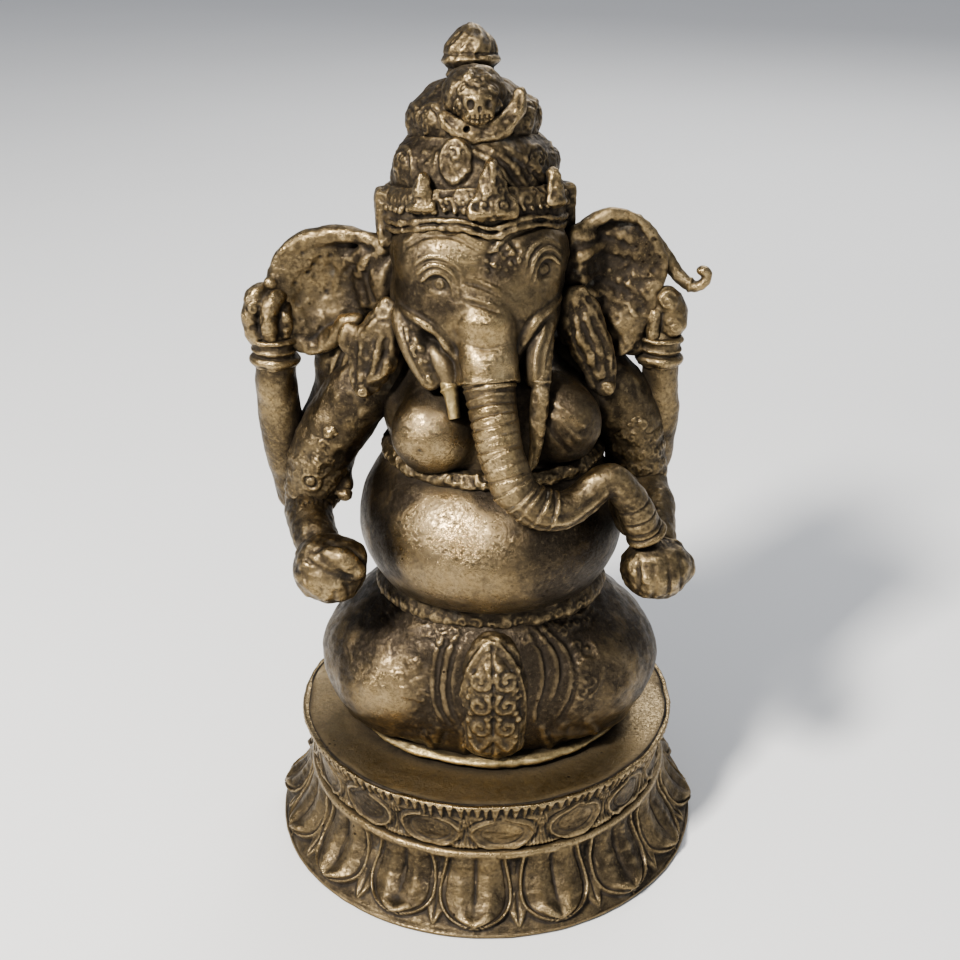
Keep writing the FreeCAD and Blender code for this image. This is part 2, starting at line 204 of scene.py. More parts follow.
def lathe(profile):
    """Turned body from (height, radius) pairs."""
    rows = np.asarray(profile, float)
    fine = smooth_path(rows, 14 * len(rows))
    fine = fine[np.argsort(fine[:, 0])]

    def distance(x, y, z):
        heights = z[0, 0]
        radius = np.interp(heights, fine[:, 0], fine[:, 1])
        lean = np.abs(np.gradient(radius, heights))
        out = np.sqrt(x ** 2 + y ** 2)
        side = (out - radius[None, None]) / np.sqrt(1 + np.minimum(lean, 3) ** 2)[None, None]
        ends = np.maximum(rows[0, 0] - heights, heights - rows[-1, 0])[None, None]
        return np.maximum(side, ends)

    wide = rows[:, 1].max()
    return distance, np.array([-wide, -wide, rows[0, 0]]), np.array([wide, wide, rows[-1, 0]])


# ---- clay -----------------------------------------------------------------------------------------
def smooth_min(a, b, blend):
    if blend <= 0:
        return np.minimum(a, b)
    near = np.maximum(blend - np.abs(a - b), 0) / blend
    return np.minimum(a, b) - near * near * (blend * 0.25)


class Clay:
    """A lump of clay: distances to its surface on a grid, negative inside."""

    def __init__(self, low, high, voxel, seed):
        self.voxel = voxel * COARSEN
        self.low = np.asarray(low, float) - 2 * self.voxel
        counts = np.ceil((np.asarray(high, float) + 2 * self.voxel - self.low) / self.voxel).astype(int) + 1
        self.axes = [(self.low[i] + self.voxel * np.arange(counts[i])).astype(np.float32) for i in range(3)]
        self.field = np.full(counts, REACH, np.float32)
        self.random = np.random.default_rng(seed)

    def window(self, low, high):
        """Slices of the grid inside a box, and their coordinates ready to broadcast."""
        cut = []
        for axis, first, last in zip(self.axes, low, high):
            cut.append(slice(int(np.searchsorted(axis, first)), int(np.searchsorted(axis, last))))
        x = self.axes[0][cut[0]][:, None, None]
        y = self.axes[1][cut[1]][None, :, None]
        z = self.axes[2][cut[2]][None, None, :]
        return tuple(cut), x, y, z

    def change(self, low, high, rule):
        """Applies rule(field, x, y, z) inside a box."""
        cut, x, y, z = self.window(low, high)
        part = self.field[cut]
        if part.size:
            self.field[cut] = rule(part, x, y, z).astype(np.float32)

    def add(self, shape, blend=0.0):
        distance, low, high = shape
        margin = REACH + blend
        self.change(low - margin, high + margin,
                    lambda field, x, y, z: smooth_min(field, distance(x, y, z), blend))

    def cut(self, shape, blend=0.0):
        distance, low, high = shape
        margin = REACH + blend
        self.change(low - margin, high + margin,
                    lambda field, x, y, z: -smooth_min(-field, distance(x, y, z), blend))

    def tube(self, stations, blend=0.0, count=26):
        """Round limb through stations (x, y, z, radius)."""
        path = smooth_path(stations, count)
        for a, b in zip(path[:-1], path[1:]):
            self.add(rod(a[:3], b[:3], a[3], b[3]), blend)

    def keep_side(self, point, normal):
        """Cuts the clay off flat, keeping the side that normal points away from."""
        n = unit(normal)
        level = float(np.dot(n, point))
        x, y, z = self.axes[0][:, None, None], self.axes[1][None, :, None], self.axes[2][None, None, :]
        self.field = np.maximum(self.field, (n[0] * x + n[1] * y + n[2] * z - level).astype(np.float32))

    def value(self, points):
        """Distances at points, read from the grid with linear weights."""
        spots = (np.asarray(points, float) - self.low) / self.voxel
        limit = np.array(self.field.shape) - 1.001
        spots = np.clip(spots, 0, limit)
        base = spots.astype(int)
        part = spots - base
        total = 0.0
        for corner in range(8):
            step = np.array([(corner >> i) & 1 for i in range(3)])
            weight = np.prod(np.where(step, part, 1 - part), axis=-1)
            at = base + step
            total = total + weight * self.field[at[..., 0], at[..., 1], at[..., 2]]
        return total

    def settle(self, points, facing):
        """Points moved along facing onto the surface, coming from outside."""
        points = np.atleast_2d(np.asarray(points, float))
        facing = np.asarray(facing, float)
        facing = facing / np.linalg.norm(facing, axis=-1, keepdims=True)
        steps = np.arange(SEARCH, -SEARCH, -SEARCH_STEP)
        line = points[:, None, :] + steps[None, :, None] * np.broadcast_to(facing, points.shape)[:, None, :]
        inside = self.value(line) < 0
        first = np.where(inside.any(1), inside.argmax(1), len(steps) // 2)
        return line[np.arange(len(points)), first]

    def stroke(self, points, width, height, facing=FRONT, settle=True, taper=0.0):
        """Raised line (or groove, with a negative height) along points on the surface."""
        points = np.atleast_2d(np.asarray(points, float))
        if settle:
            points = self.settle(points, facing)
        if len(points) == 1:
            points = np.vstack([points, points + 1e-3])
        margin = 2.2 * width + abs(height) + self.voxel
        count = len(points) - 1

        def rule(field, x, y, z):
            lift = np.zeros(np.broadcast_shapes(x.shape, y.shape, z.shape), np.float32)
            for i, (a, b) in enumerate(zip(points[:-1], points[1:])):
                local = self.local_window(a, b, margin, x, y, z)
                if local is None:
                    continue
                cut, lx, ly, lz = local
                gap = rod(a, b, 0.0, 0.0)[0](lx, ly, lz)
                part = (i + 0.5) / count
                strength = 1.0 - taper * abs(2 * part - 1) ** 2
                bump = strength * np.exp(-(gap / width) ** 2)
                lift[cut] = np.maximum(lift[cut], bump)
            return field - height * lift

        self.change(points.min(0) - margin, points.max(0) + margin, rule)

    @staticmethod
    def local_window(a, b, margin, x, y, z):
        """Slices of an already cut window round one segment."""
        low, high = np.minimum(a, b) - margin, np.maximum(a, b) + margin
        cut = []
        for axis, first, last in zip((x.ravel(), y.ravel(), z.ravel()), low, high):
            start, stop = int(np.searchsorted(axis, first)), int(np.searchsorted(axis, last))
            if stop <= start:
                return None
            cut.append(slice(start, stop))
        return tuple(cut), x[cut[0]], y[:, cut[1]], z[:, :, cut[2]]

    def dab(self, spots, width, height, facing=FRONT):
        """Separate bumps or pits, each at its own spot on the surface."""
        for spot in self.settle(spots, facing):
            self.stroke(spot[None], width, height, settle=False)

    def collar(self, centre, axis, radius, width, height, facing=None):
        """Ring or ring groove round a limb; with facing it fades out on the far side."""
        centre, axis = np.asarray(centre, float), unit(axis)
        margin = radius + 3 * width + 2

        def rule(field, x, y, z):
            px, py, pz = x - centre[0], y - centre[1], z - centre[2]
            along = px * axis[0] + py * axis[1] + pz * axis[2]
            out = np.sqrt(np.maximum(px ** 2 + py ** 2 + pz ** 2 - along ** 2, 1e-6))
            lift = np.exp(-(along / width) ** 2) * np.clip(1.5 - np.abs(out - radius) / 3.0, 0, 1)
            if facing is not None:
                way = unit(facing)
                ahead = (px * way[0] + py * way[1] + pz * way[2]) / out
                lift = lift * np.clip(0.5 + 1.6 * ahead, 0, 1)
            return field - height * lift

        self.change(centre - margin, centre + margin, rule)

    def noise(self, scale):
        """Smooth random values between about -1 and 1, with lumps of the given size."""
        parts = []
        for axis in self.axes:
            spots = (axis - axis[0]) / scale
            base = spots.astype(int)
            t = spots - base
            t = t * t * (3 - 2 * t)
            weights = np.zeros((len(axis), int(base[-1]) + 2), np.float32)
            rows = np.arange(len(axis))
            weights[rows, base] = 1 - t
            weights[rows, base + 1] = t
            parts.append(weights)
        lattice = self.random.uniform(-1, 1, [p.shape[1] for p in parts]).astype(np.float32)
        out = np.tensordot(parts[0], lattice, (1, 0))
        out = np.tensordot(out, parts[1], (1, 1)).transpose(0, 2, 1)
        return np.tensordot(out, parts[2], (2, 1))

    def roughen(self, *octaves):
        """Adds lumps: pairs of (size, height)."""
        for scale, height in octaves:
            self.field += height * self.noise(max(scale, 2.2 * self.voxel))

    def scrollwork(self, spots, size, width, height, facing):
        """Small scrolls and leaves at spots, each with its own turn, as in worked wax."""
        facings = np.broadcast_to(np.asarray(facing, float), (len(spots), 3))
        for spot, way in zip(np.atleast_2d(spots), facings):
            way = unit(way)
            across = unit(np.cross(way, (0, 0, 1)))
            up = np.cross(across, way)
            turn = self.random.uniform(0, 360)
            hand = self.random.choice([-1, 1])
            grown = size * self.random.uniform(0.8, 1.15)
            line = spiral(spot, grown, self.random.uniform(0.8, 1.3), turn, hand, across, up, 12)
            self.stroke(line, width, height, way)

    def mesh(self):
        """Points and quads of the surface."""
        grid = openvdb.FloatGrid()
        grid.copyFromArray(np.ascontiguousarray(self.field))
        points, quads = grid.convertToQuads(0.0)
        points = points.astype(float) * self.voxel + self.low
        return tidy_mesh(points, quads.astype(np.int64))


# ---- meshes ---------------------------------------------------------------------------------------
def tidy_mesh(points, quads):
    """Keeps the largest connected piece only and makes the faces look outwards."""
    label = np.arange(len(points))
    edges = np.concatenate([quads[:, [0, 1]], quads[:, [1, 2]], quads[:, [2, 3]]])
    while True:
        low = np.minimum(label[edges[:, 0]], label[edges[:, 1]])
        fresh = label.copy()
        np.minimum.at(fresh, edges[:, 0], low)
        np.minimum.at(fresh, edges[:, 1], low)
        fresh = fresh[fresh]
        if np.array_equal(fresh, label):
            break
        label = fresh
    main = np.bincount(label).argmax()
    keep = label == main
    index = np.cumsum(keep) - 1
    quads = index[quads[keep[quads[:, 0]]]]
    points = points[keep]
    a, b, c, d = (points[quads[:, i]] for i in range(4))
    if np.einsum("ij,ij->i", a, np.cross(b - a, c - a) + np.cross(c - a, d - a)).sum() < 0:
        quads = quads[:, ::-1]
    return points, quads


def corner_sum(values, quads, count):
    """Sums rows of values, one per quad, onto the quads' corners."""
    out = np.zeros((count, values.shape[1]))
    for corner in range(4):
        for i in range(values.shape[1]):
            out[:, i] += np.bincount(quads[:, corner], values[:, i], count)
    return out


def hollows(points, quads, voxel):
    """How deep each point sits below its surroundings, in mm: over about 1 mm and over about 3 mm."""
    count = len(points)
    a, b, c, d = (points[quads[:, i]] for i in range(4))
    normals = corner_sum(np.cross(c - a, d - b), quads, count)
    normals /= np.maximum(np.linalg.norm(normals, axis=1, keepdims=True), 1e-9)
    weight = np.bincount(quads.ravel(), minlength=count)[:, None] * 4.0
    stops = [max(1, round(2 * (reach / voxel) ** 2)) for reach in (FINE_REACH, BROAD_REACH)]
    smooth = points
    found = []
    for step in range(1, stops[-1] + 1):
        smooth = corner_sum(smooth[quads].sum(1), quads, count) / np.maximum(weight, 1)
        if step in stops:
            found.append(np.einsum("ij,ij->i", smooth - points, normals))
    return found


def make_object(name, sculpt, body, replaced, material, lift):
    """Blender object from a sculpt in millimetres, riding on its body in place of its CAD nodes."""
    points, quads, fine, broad, wear_and_painted_light = sculpt
    mesh = bpy.data.meshes.new(name)
    mesh.vertices.add(len(points))
    mesh.vertices.foreach_set("co", ((points + (0, 0, lift)) * MM).astype(np.float32).ravel())
    mesh.loops.add(quads.size)
    mesh.loops.foreach_set("vertex_index", quads.astype(np.int32).ravel())
    mesh.polygons.add(len(quads))
    mesh.polygons.foreach_set("loop_start", np.arange(0, quads.size, 4, dtype=np.int32))
    mesh.update(calc_edges=True)
    mesh.validate()
    mesh.shade_smooth()
    # the hollows, and the spots of wear with painted highlight and painted shade, are stored for the material
    for label, values in (("fine_hollow", fine), ("broad_hollow", broad), ("wear_and_painted_light", wear_and_painted_light)):
        mesh.attributes.new(label, "FLOAT", "POINT").data.foreach_set("value", values.astype(np.float32))
    mesh.materials.append(material)
    piece = bpy.data.objects.new(name, mesh)
    bpy.context.scene.collection.objects.link(piece)
    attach(piece, body)
    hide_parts(*replaced)


# ---- materials ------------------------------------------------------------------------------------
class Nodes:
    """Short way to build a node tree."""

    def __init__(self, name):
        self.material = bpy.data.materials.new(name)
        self.material.use_nodes = True
        self.tree = self.material.node_tree
        self.tree.nodes.clear()

    def node(self, kind, inputs=None, **settings):
        made = self.tree.nodes.new(kind)
        for key, value in settings.items():
            setattr(made, key, value)
        for key, value in (inputs or {}).items():
            self.feed(made.inputs[key], value)
        return made

    def feed(self, socket, value):
        if isinstance(value, bpy.types.NodeSocket):
            self.tree.links.new(value, socket)
        else:
            socket.default_value = value

    def math(self, operation, a, b=0.0, clamp=False):
        made = self.node("ShaderNodeMath", {0: a, 1: b}, operation=operation, use_clamp=clamp)
        return made.outputs[0]

    def ramp(self, value, low, high, to_low=0.0, to_high=1.0):
        made = self.node("ShaderNodeMapRange", {0: value, 1: low, 2: high, 3: to_low, 4: to_high})
        made.clamp = True
        return made.outputs[0]

    def mix(self, factor, a, b):
        made = self.node("ShaderNodeMix", data_type="RGBA")
        self.feed(made.inputs[0], factor)
        self.feed(made.inputs[6], a)
        self.feed(made.inputs[7], b)
        return made.outputs[2]

    def noise(self, where, scale, detail=4.0, rough=0.55, warp=0.0):
        made = self.node("ShaderNodeTexNoise", {
            "Vector": where, "Scale": scale, "Detail": detail, "Roughness": rough, "Distortion": warp})
        return made.outputs["Fac"]


def brass(name, polish, grime, gold=(0.375, 0.285, 0.160), brown=(0.066, 0.051, 0.034), seed=0.0, pale=0.0,
          base_rough=0.30):
    """Aged cast brass.

    polish moves the surface from brown patina to bare golden metal, and grime fills its hollows."""
    n = Nodes(name)
    place = n.node("ShaderNodeTexCoord").outputs["Object"]
    where = n.node("ShaderNodeVectorMath", {0: place, 1: (seed, 1.7 * seed, 0.6 * seed)},
                   operation="ADD").outputs[0]
    fine = n.node("ShaderNodeAttribute", attribute_name="fine_hollow").outputs["Fac"]
    broad = n.node("ShaderNodeAttribute", attribute_name="broad_hollow").outputs["Fac"]
    # per-vertex spots of real wear and of painted highlight and painted shade, from the per-piece spot list
    wear_and_painted_light = n.node("ShaderNodeAttribute", attribute_name="wear_and_painted_light").outputs["Fac"]
    clouds = n.noise(where, 24.0, 6.0, 0.62, 0.4)
    mottle = n.noise(where, 95.0, 7.0, 0.66, 0.7)
    speck = n.noise(where, 420.0, 4.0, 0.6)
    grain = n.noise(where, 1500.0, 3.0, 0.6)
    grit = n.noise(where, 640.0, 6.0, 0.72)
    # ambient occlusion: places that other parts shelter get a darker colour below, as painted shade
    shelter = n.node("ShaderNodeAmbientOcclusion", {"Distance": 0.011}, samples=4).outputs["AO"]
    depth = n.math("ADD", n.math("MULTIPLY", fine, 3.0), n.math("MULTIPLY", broad, 0.9))
    depth = n.math("ADD", depth, n.math("MULTIPLY", n.math("SUBTRACT", mottle, 0.5), 1.5))
    hollow_patina_and_shade = n.ramp(depth, 0.35 - 0.65 * grime, 1.75 - 0.75 * grime)
    # painted shade where the occlusion is low, joined to the patina of the hollows
    painted_shade = n.ramp(shelter, 0.90, 0.40)
    hollow_patina_and_shade = n.math("MAXIMUM", hollow_patina_and_shade, n.math("MULTIPLY", painted_shade, 0.95))
    on_edge = n.ramp(depth, -0.30, -1.5)

    polish_and_painted_light = n.math("ADD", n.math("MULTIPLY", clouds, 1.3), n.math("MULTIPLY", mottle, 1.0))
    # the spots raise the polish as painted highlight and lower it as painted shade, besides real rubbing
    polish_and_painted_light = n.math("ADD", polish_and_painted_light, n.math("MULTIPLY", wear_and_painted_light, 0.7))
    polish_and_painted_light = n.ramp(polish_and_painted_light, 1.30 - 0.62 * polish, 1.85 - 0.62 * polish)
    polish_and_painted_light = n.math("MAXIMUM", polish_and_painted_light, n.math("MULTIPLY", on_edge, 0.95))
    stain = n.mix(n.ramp(speck, 0.35, 0.72), (*brown, 1),
                  (brown[0] * 0.5, brown[1] * 0.5, brown[2] * 0.52, 1))
    metal = n.mix(n.ramp(mottle, 0.36, 0.66), (*gold, 1), (gold[0] * 0.72, gold[1] * 0.69, gold[2] * 0.62, 1))
    skin = n.mix(polish_and_painted_light, stain, metal)
    # dark colour of the patina in hollows and of the painted shade in sheltered places
    patina_and_shade_colour = n.mix(n.ramp(mottle, 0.42, 0.62), (0.016, 0.012, 0.008, 1), (0.045, 0.034, 0.023, 1))
    colour = n.mix(hollow_patina_and_shade, skin, patina_and_shade_colour)
    amount = 0.24 + 0.62 * grime
    colour = n.mix(n.math("MULTIPLY", n.ramp(grit, 0.50, 0.64), amount), colour, (0.050, 0.038, 0.027, 1))
    fleck = n.math("MULTIPLY", n.ramp(grit, 0.44, 0.34), n.math("SUBTRACT", 1.0, hollow_patina_and_shade))
    colour = n.mix(n.math("MULTIPLY", fleck, 0.55 * amount), colour,
                   (gold[0] * 1.2, gold[1] * 1.2, gold[2] * 1.15, 1))
    pits = n.node("ShaderNodeTexVoronoi", {"Vector": where, "Scale": 260.0}, feature="F1").outputs["Distance"]
    scarce = n.ramp(n.noise(where, 55.0, 2.0), 0.58, 0.68)
    pit = n.math("MULTIPLY", n.ramp(pits, 0.26, 0.10), scarce)
    colour = n.mix(pit, colour, (0.02, 0.014, 0.009, 1))
    if pale:
        crust = n.math("MULTIPLY", n.ramp(n.noise(where, 62.0, 5.0, 0.7), 0.60, 0.68),
                       n.ramp(hollow_patina_and_shade, 0.15, 0.6))
        colour = n.mix(n.math("MULTIPLY", crust, pale), colour, (0.24, 0.225, 0.19, 1))

    rough = n.ramp(polish_and_painted_light, 0.0, 1.0, base_rough + 0.17, base_rough)
    rough = n.math("ADD", rough, n.math("MULTIPLY", hollow_patina_and_shade, 0.28))
    rough = n.math("ADD", rough, n.ramp(speck, 0.3, 0.75, -0.05, 0.09), clamp=True)
    metallic = n.ramp(hollow_patina_and_shade, 0.0, 1.0, 0.98, 0.5)

    height = n.math("ADD", n.math("MULTIPLY", mottle, 0.55), n.math("MULTIPLY", speck, 0.45))
    height = n.math("SUBTRACT", height, n.math("MULTIPLY", n.ramp(grit, 0.48, 0.66), 0.22))
    height = n.math("ADD", height, n.math("MULTIPLY", grain, 0.13))
    height = n.math("SUBTRACT", height, n.math("MULTIPLY", pit, 0.5))
    bump = n.node("ShaderNodeBump", {"Strength": 0.46, "Distance": 0.0011, "Height": height}).outputs[0]
    shader = n.node("ShaderNodeBsdfPrincipled", {
        "Base Color": colour, "Roughness": rough, "Metallic": metallic, "Normal": bump})
    n.node("ShaderNodeOutputMaterial", {"Surface": shader.outputs[0]})
    return n.material


finish_of = {
    "skin": brass("brass_rubbed_skin", 0.54, 0.17, seed=0.3, base_rough=0.24),
    "belly": brass("brass_rubbed_belly", 0.36, 0.20, gold=(0.33, 0.25, 0.145), brown=(0.060, 0.047, 0.033),
                   seed=8.6, base_rough=0.22),
    "limb": brass("brass_rubbed_limb", 0.42, 0.33, seed=1.1, pale=0.3, base_rough=0.25),
    "worked": brass("brass_worked", 0.36, 0.55, seed=2.3, pale=0.6, base_rough=0.26),
    # darker finish: dark patina, and on the figure's left ear and its pendant painted shade of the side turned
    # from the key light
    "dark_patina_and_shade": brass("brass_dark_patina_and_shade", 0.22, 0.62, seed=3.1, pale=0.5, base_rough=0.38),
    "crown": brass("brass_crown", 0.40, 0.55, seed=4.7, pale=0.4, base_rough=0.28),
    "lotus": brass("brass_lotus", 0.42, 0.50, seed=5.9, pale=0.25, base_rough=0.27),
    "seat": brass("brass_seat", 0.80, 0.05, gold=(0.47, 0.365, 0.215), brown=(0.19, 0.145, 0.088), seed=6.4,
                  base_rough=0.36),
    "hem": brass("brass_bright_hem", 0.9, 0.20, gold=(0.70, 0.55, 0.29), seed=7.2, base_rough=0.30),
}

# ---- head place, shared by the head and the crown ---------------------------------------------------
HEAD = np.array([-5.0, -10.0, 233.0])
HEAD_TURN = turn_about("z", 7) @ turn_about("x", -10)


def from_head(points):
    """Figure coordinates of points given about the head's own centre."""
    return np.asarray(points, float) @ HEAD_TURN.T + HEAD


# ---- pedestal, turned with its petals as relief -----------------------------------------------------
def along_profile(profile, count):
    """Evenly spaced points and outward normals along an open outline of (radius, height)."""
    rows = smooth_path(profile, 400)
    length = np.concatenate([[0], np.cumsum(np.linalg.norm(np.diff(rows, axis=0), axis=1))])
    spots = np.linspace(0, length[-1], count)
    r, z = np.interp(spots, length, rows[:, 0]), np.interp(spots, length, rows[:, 1])
    along = np.stack([np.gradient(r), np.gradient(z)], 1)
    along /= np.maximum(np.linalg.norm(along, axis=1, keepdims=True), 1e-9)
    return r, z, np.stack([along[:, 1], -along[:, 0]], 1), spots


def step_up(value, low, high):
    t = np.clip((value - low) / (high - low), 0, 1)
    return t * t * (3 - 2 * t)


def smooth_cells(count, cells):
    """For evenly spaced spots: which cell each is in, and how far across it, eased at both ends."""
    spots = np.arange(count) / count * cells
    cell = spots.astype(int)
    t = spots - cell
    return cell, t * t * (3 - 2 * t)


def lumps(shape, size, seed):
    """Smooth random relief on a grid that closes round its first side; size is in grid steps."""
    random = np.random.default_rng(seed)
    cells = [max(2, round(shape[0] / size[0])), max(2, round(shape[1] / size[1]))]
    lattice = random.uniform(-1, 1, (cells[0], cells[1] + 2))
    i, t = smooth_cells(shape[0], cells[0])
    t = t[:, None]
    rows = lattice[i % cells[0]] * (1 - t) + lattice[(i + 1) % cells[0]] * t
    j, t = smooth_cells(shape[1], cells[1])
    return rows[:, j] * (1 - t) + rows[:, j + 1] * t


def turned_mesh(outer, inner, turns, count, relief):
    """Closed ring-shaped mesh: an outer outline that carries relief and a plain inner outline."""
    r, z, normal, spots = along_profile(outer, count)
    angle = np.arange(turns) / turns * 2 * math.pi
    share = spots / spots[-1]
    lift = relief(angle[:, None], share[None], r[None])
    ri, zi, _, _ = along_profile(inner, max(8, count // 8))
    radius = np.hstack([r[None] + lift * normal[None, :, 0], np.broadcast_to(ri, (turns, len(ri)))])
    height = np.hstack([z[None] + lift * normal[None, :, 1], np.broadcast_to(zi, (turns, len(zi)))])
    wide = radius.shape[1]
    points = np.stack([radius * np.sin(angle)[:, None], -radius * np.cos(angle)[:, None], height], 2)
    i, j = np.meshgrid(np.arange(turns), np.arange(wide), indexing="ij")
    i2, j2 = (i + 1) % turns, (j + 1) % wide
    quads = np.stack([i * wide + j, i2 * wide + j, i2 * wide + j2, i * wide + j2], 2).reshape(-1, 4)
    return points.reshape(-1, 3), quads


def cell_of(angle, count, first):
    """Which petal an angle is in, and where across it, from -1 to 1.  first is a petal's centre, degrees."""
    turn = (angle / (2 * math.pi) - first / 360.0) * count
    index = np.floor(turn + 0.5)
    return index.astype(int) % count, 2 * (turn - index)


LOWER_PETALS, LOWER_FIRST = 16, -2.9
UPPER_PETALS, UPPER_FIRST = 16, 5.0


def lower_relief(angle, share, radius):
    """Down-turned petals with thin rims, two broad rounded lobes each, and a leaf tip between neighbours."""
    random = np.random.default_rng(11)
    vary = random.uniform(-1, 1, (6, LOWER_PETALS))
    petal, across = cell_of(angle, LOWER_PETALS, LOWER_FIRST)
    half = math.pi / LOWER_PETALS * radius
    across = across - 0.05 * vary[0][petal]
    down = (share - 0.06) / (0.78 + 0.025 * vary[1][petal])
    past = np.maximum(down - 0.5, 0) / 0.5
    shape = np.where(down < 0.5, 0.80 + 0.15 * step_up(down, -0.1, 0.5),
                     0.95 * np.clip(1 - past ** 2.4, 0, 1) ** 0.6)
    inset = (shape - np.abs(across)) * half
    on_face = step_up(share, 0.07, 0.17) * step_up(share, 0.965, 0.90)
    body = step_up(inset, -0.5, 0.8)
    swell = body * np.sqrt(np.clip(1 - across ** 2 * 0.9, 0, 1)) * (0.6 + 0.8 * step_up(down, 0.1, 0.8))
    rim = np.exp(-((inset - 1.1) / 0.85) ** 2)
    groove = np.exp(-((inset - 3.0) / 0.75) ** 2) * body
    lobe_place = (np.abs(across) * half - 0.47 * np.maximum(shape * half - 3.0, 1.0)) / 4.0
    lobe = np.exp(-lobe_place ** 2) * step_up(inset, 2.6, 6.0)
    rib = np.exp(-(across * half / (1.0 + 0.5 * vary[4][petal] ** 2)) ** 2)
    rib = rib * step_up(down, -0.05, 0.06) * step_up(down, 0.86, 0.45)
    curl = 0.9 * np.exp(-((down - 0.92) / 0.10) ** 2) * body
    lift = -1.9 + 1.5 * swell + body * (0.7 + 0.3 * vary[2][petal]) + 1.1 * rim - 1.2 * groove
    lift = lift + 1.5 * lobe - 1.3 * rib * body + curl
    beside = cell_of(angle, LOWER_PETALS, LOWER_FIRST + 180.0 / LOWER_PETALS)[1]
    leaf_down = (share - 0.46) / 0.40
    leaf_half = 0.26 * np.clip(1 - np.abs(leaf_down - 0.45) / 0.5, 0, 1) ** 0.7
    leaf_inset = (leaf_half - np.abs(beside)) * half
    leaf = step_up(leaf_inset, -0.4, 1.2) * (1 - body)
    lift = lift + leaf * (1.7 - 0.8 * np.exp(-(beside * half / 0.6) ** 2))
    streaks = np.cos(angle * radius / 0.55) * 0.14 * (1 - body) * step_up(share, 0.8, 0.5)
    lift = (lift + streaks) * on_face
    cord = 0.3 * np.exp(-((share - 0.03) / 0.018) ** 2)
    rough = 0.42 * lumps(lift.shape, (26, 8), 3) + 0.26 * lumps(lift.shape, (9, 4), 4)
    return lift + cord + rough * (0.5 + 0.5 * on_face) + 0.45 * lumps(lift.shape, (130, 60), 5)


def upper_relief(angle, share, radius):
    """Incised oval petals with pointed tops, upright leaves between them, and a fringe of stamens above."""
    random = np.random.default_rng(12)
    vary = random.uniform(-1, 1, (6, UPPER_PETALS))
    petal, across = cell_of(angle, UPPER_PETALS, UPPER_FIRST)
    half = math.pi / UPPER_PETALS * radius
    middle = 0.37 + 0.02 * vary[1][petal]
    side = (across - 0.06 * vary[0][petal]) / (0.86 + 0.05 * vary[2][petal])
    rise = (share - middle) / 0.30
    point = 0.22 * np.exp(-(side / 0.20) ** 2)
    ring = np.sqrt(side ** 2 + np.where(rise > 0, rise / (1 + point), rise) ** 2)
    inset = (1 - ring) * 8.5
    body = step_up(inset, -0.4, 0.5)
    rim = np.exp(-((inset - 0.6) / 0.55) ** 2)
    inner = np.exp(-((inset - 3.0) / 0.38) ** 2)
    lift = (0.95 * rim - 0.95 * np.exp(-((inset + 0.8) / 0.6) ** 2)
            - 0.6 * inner * (0.6 + 0.4 * vary[3][petal]))
    lift = lift + 0.7 * step_up(inset, 1.0, 7.0) * body
    leaf_across = cell_of(angle, UPPER_PETALS, UPPER_FIRST + 180.0 / UPPER_PETALS)[1]
    leaf_half = 0.40 * np.clip((0.78 - share) / 0.5, 0, 1) ** 0.7
    leaf_inset = (leaf_half - np.abs(leaf_across)) * half
    leaf = step_up(leaf_inset, -0.3, 0.8) * (1 - body)
    leaf_lines = np.abs(np.sin(np.abs(leaf_across) * half * 1.7 + share * 8))
    lift = lift + leaf * (0.7 - 0.6 * leaf_lines ** 3)
    stamens = 134
    wander = 0.006 * np.sin(angle * 23 + 1.3) + 0.004 * np.sin(angle * 61)
    tooth_index, tooth = cell_of(angle + wander, stamens, 0.0)
    length = 0.215 + 0.055 * random.uniform(-1, 1, stamens)[tooth_index]
    fringe_top = 0.905
    rise = np.clip((share - (fringe_top - length)) / length, 0, 1)
    spike = step_up(0.80 * rise ** 0.5 - np.abs(tooth), -0.10, 0.30) * (rise > 0)
    zone = step_up(share, fringe_top - length - 0.03, fringe_top - length + 0.02)
    gap = (1 - spike) * zone * step_up(share, 0.925, 0.895)
    lift = lift * (1 - 0.75 * zone) + 0.7 * spike * step_up(share, 0.94, 0.90) - 0.95 * gap
    lift = lift * step_up(share, 0.05, 0.11)
    rough = 0.34 * lumps(lift.shape, (22, 8), 6) + 0.24 * lumps(lift.shape, (8, 4), 7)
    return lift + rough + 0.7 * lumps(lift.shape, (120, 40), 8)


def sculpt_lower_tier():
    low, high = (np.array(corner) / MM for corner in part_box("lotus_base_lower"))
    foot, top = high[0], high[2]
    outer = [(foot - 20.0, top - 0.1), (foot - 19.0, top - 0.8), (foot - 18.0, top - 2.4),
             (foot - 18.2, top - 6.0),
             (foot - 17.4, 27), (foot - 14.4, 20), (foot - 9.6, 12.5), (foot - 4.6, 7.4), (foot - 1.9, 4.9),
             (foot - 0.9, 3.4), (foot - 0.5, 2.2), (foot - 0.8, 1.0), (foot - 1.8, 0.3), (foot - 3.2, low[2])]
    inner = [(foot - 7.5, low[2]), (foot - 9.0, 8), (foot - 15.0, 20), (foot - 24.0, 32),
             (foot - 27.0, top - 0.1)]
    return turned_mesh(outer[::-1], inner[::-1], int(1040 / COARSEN), int(84 / COARSEN),
                       lambda angle, share, radius: lower_relief(angle, 1 - share, radius))


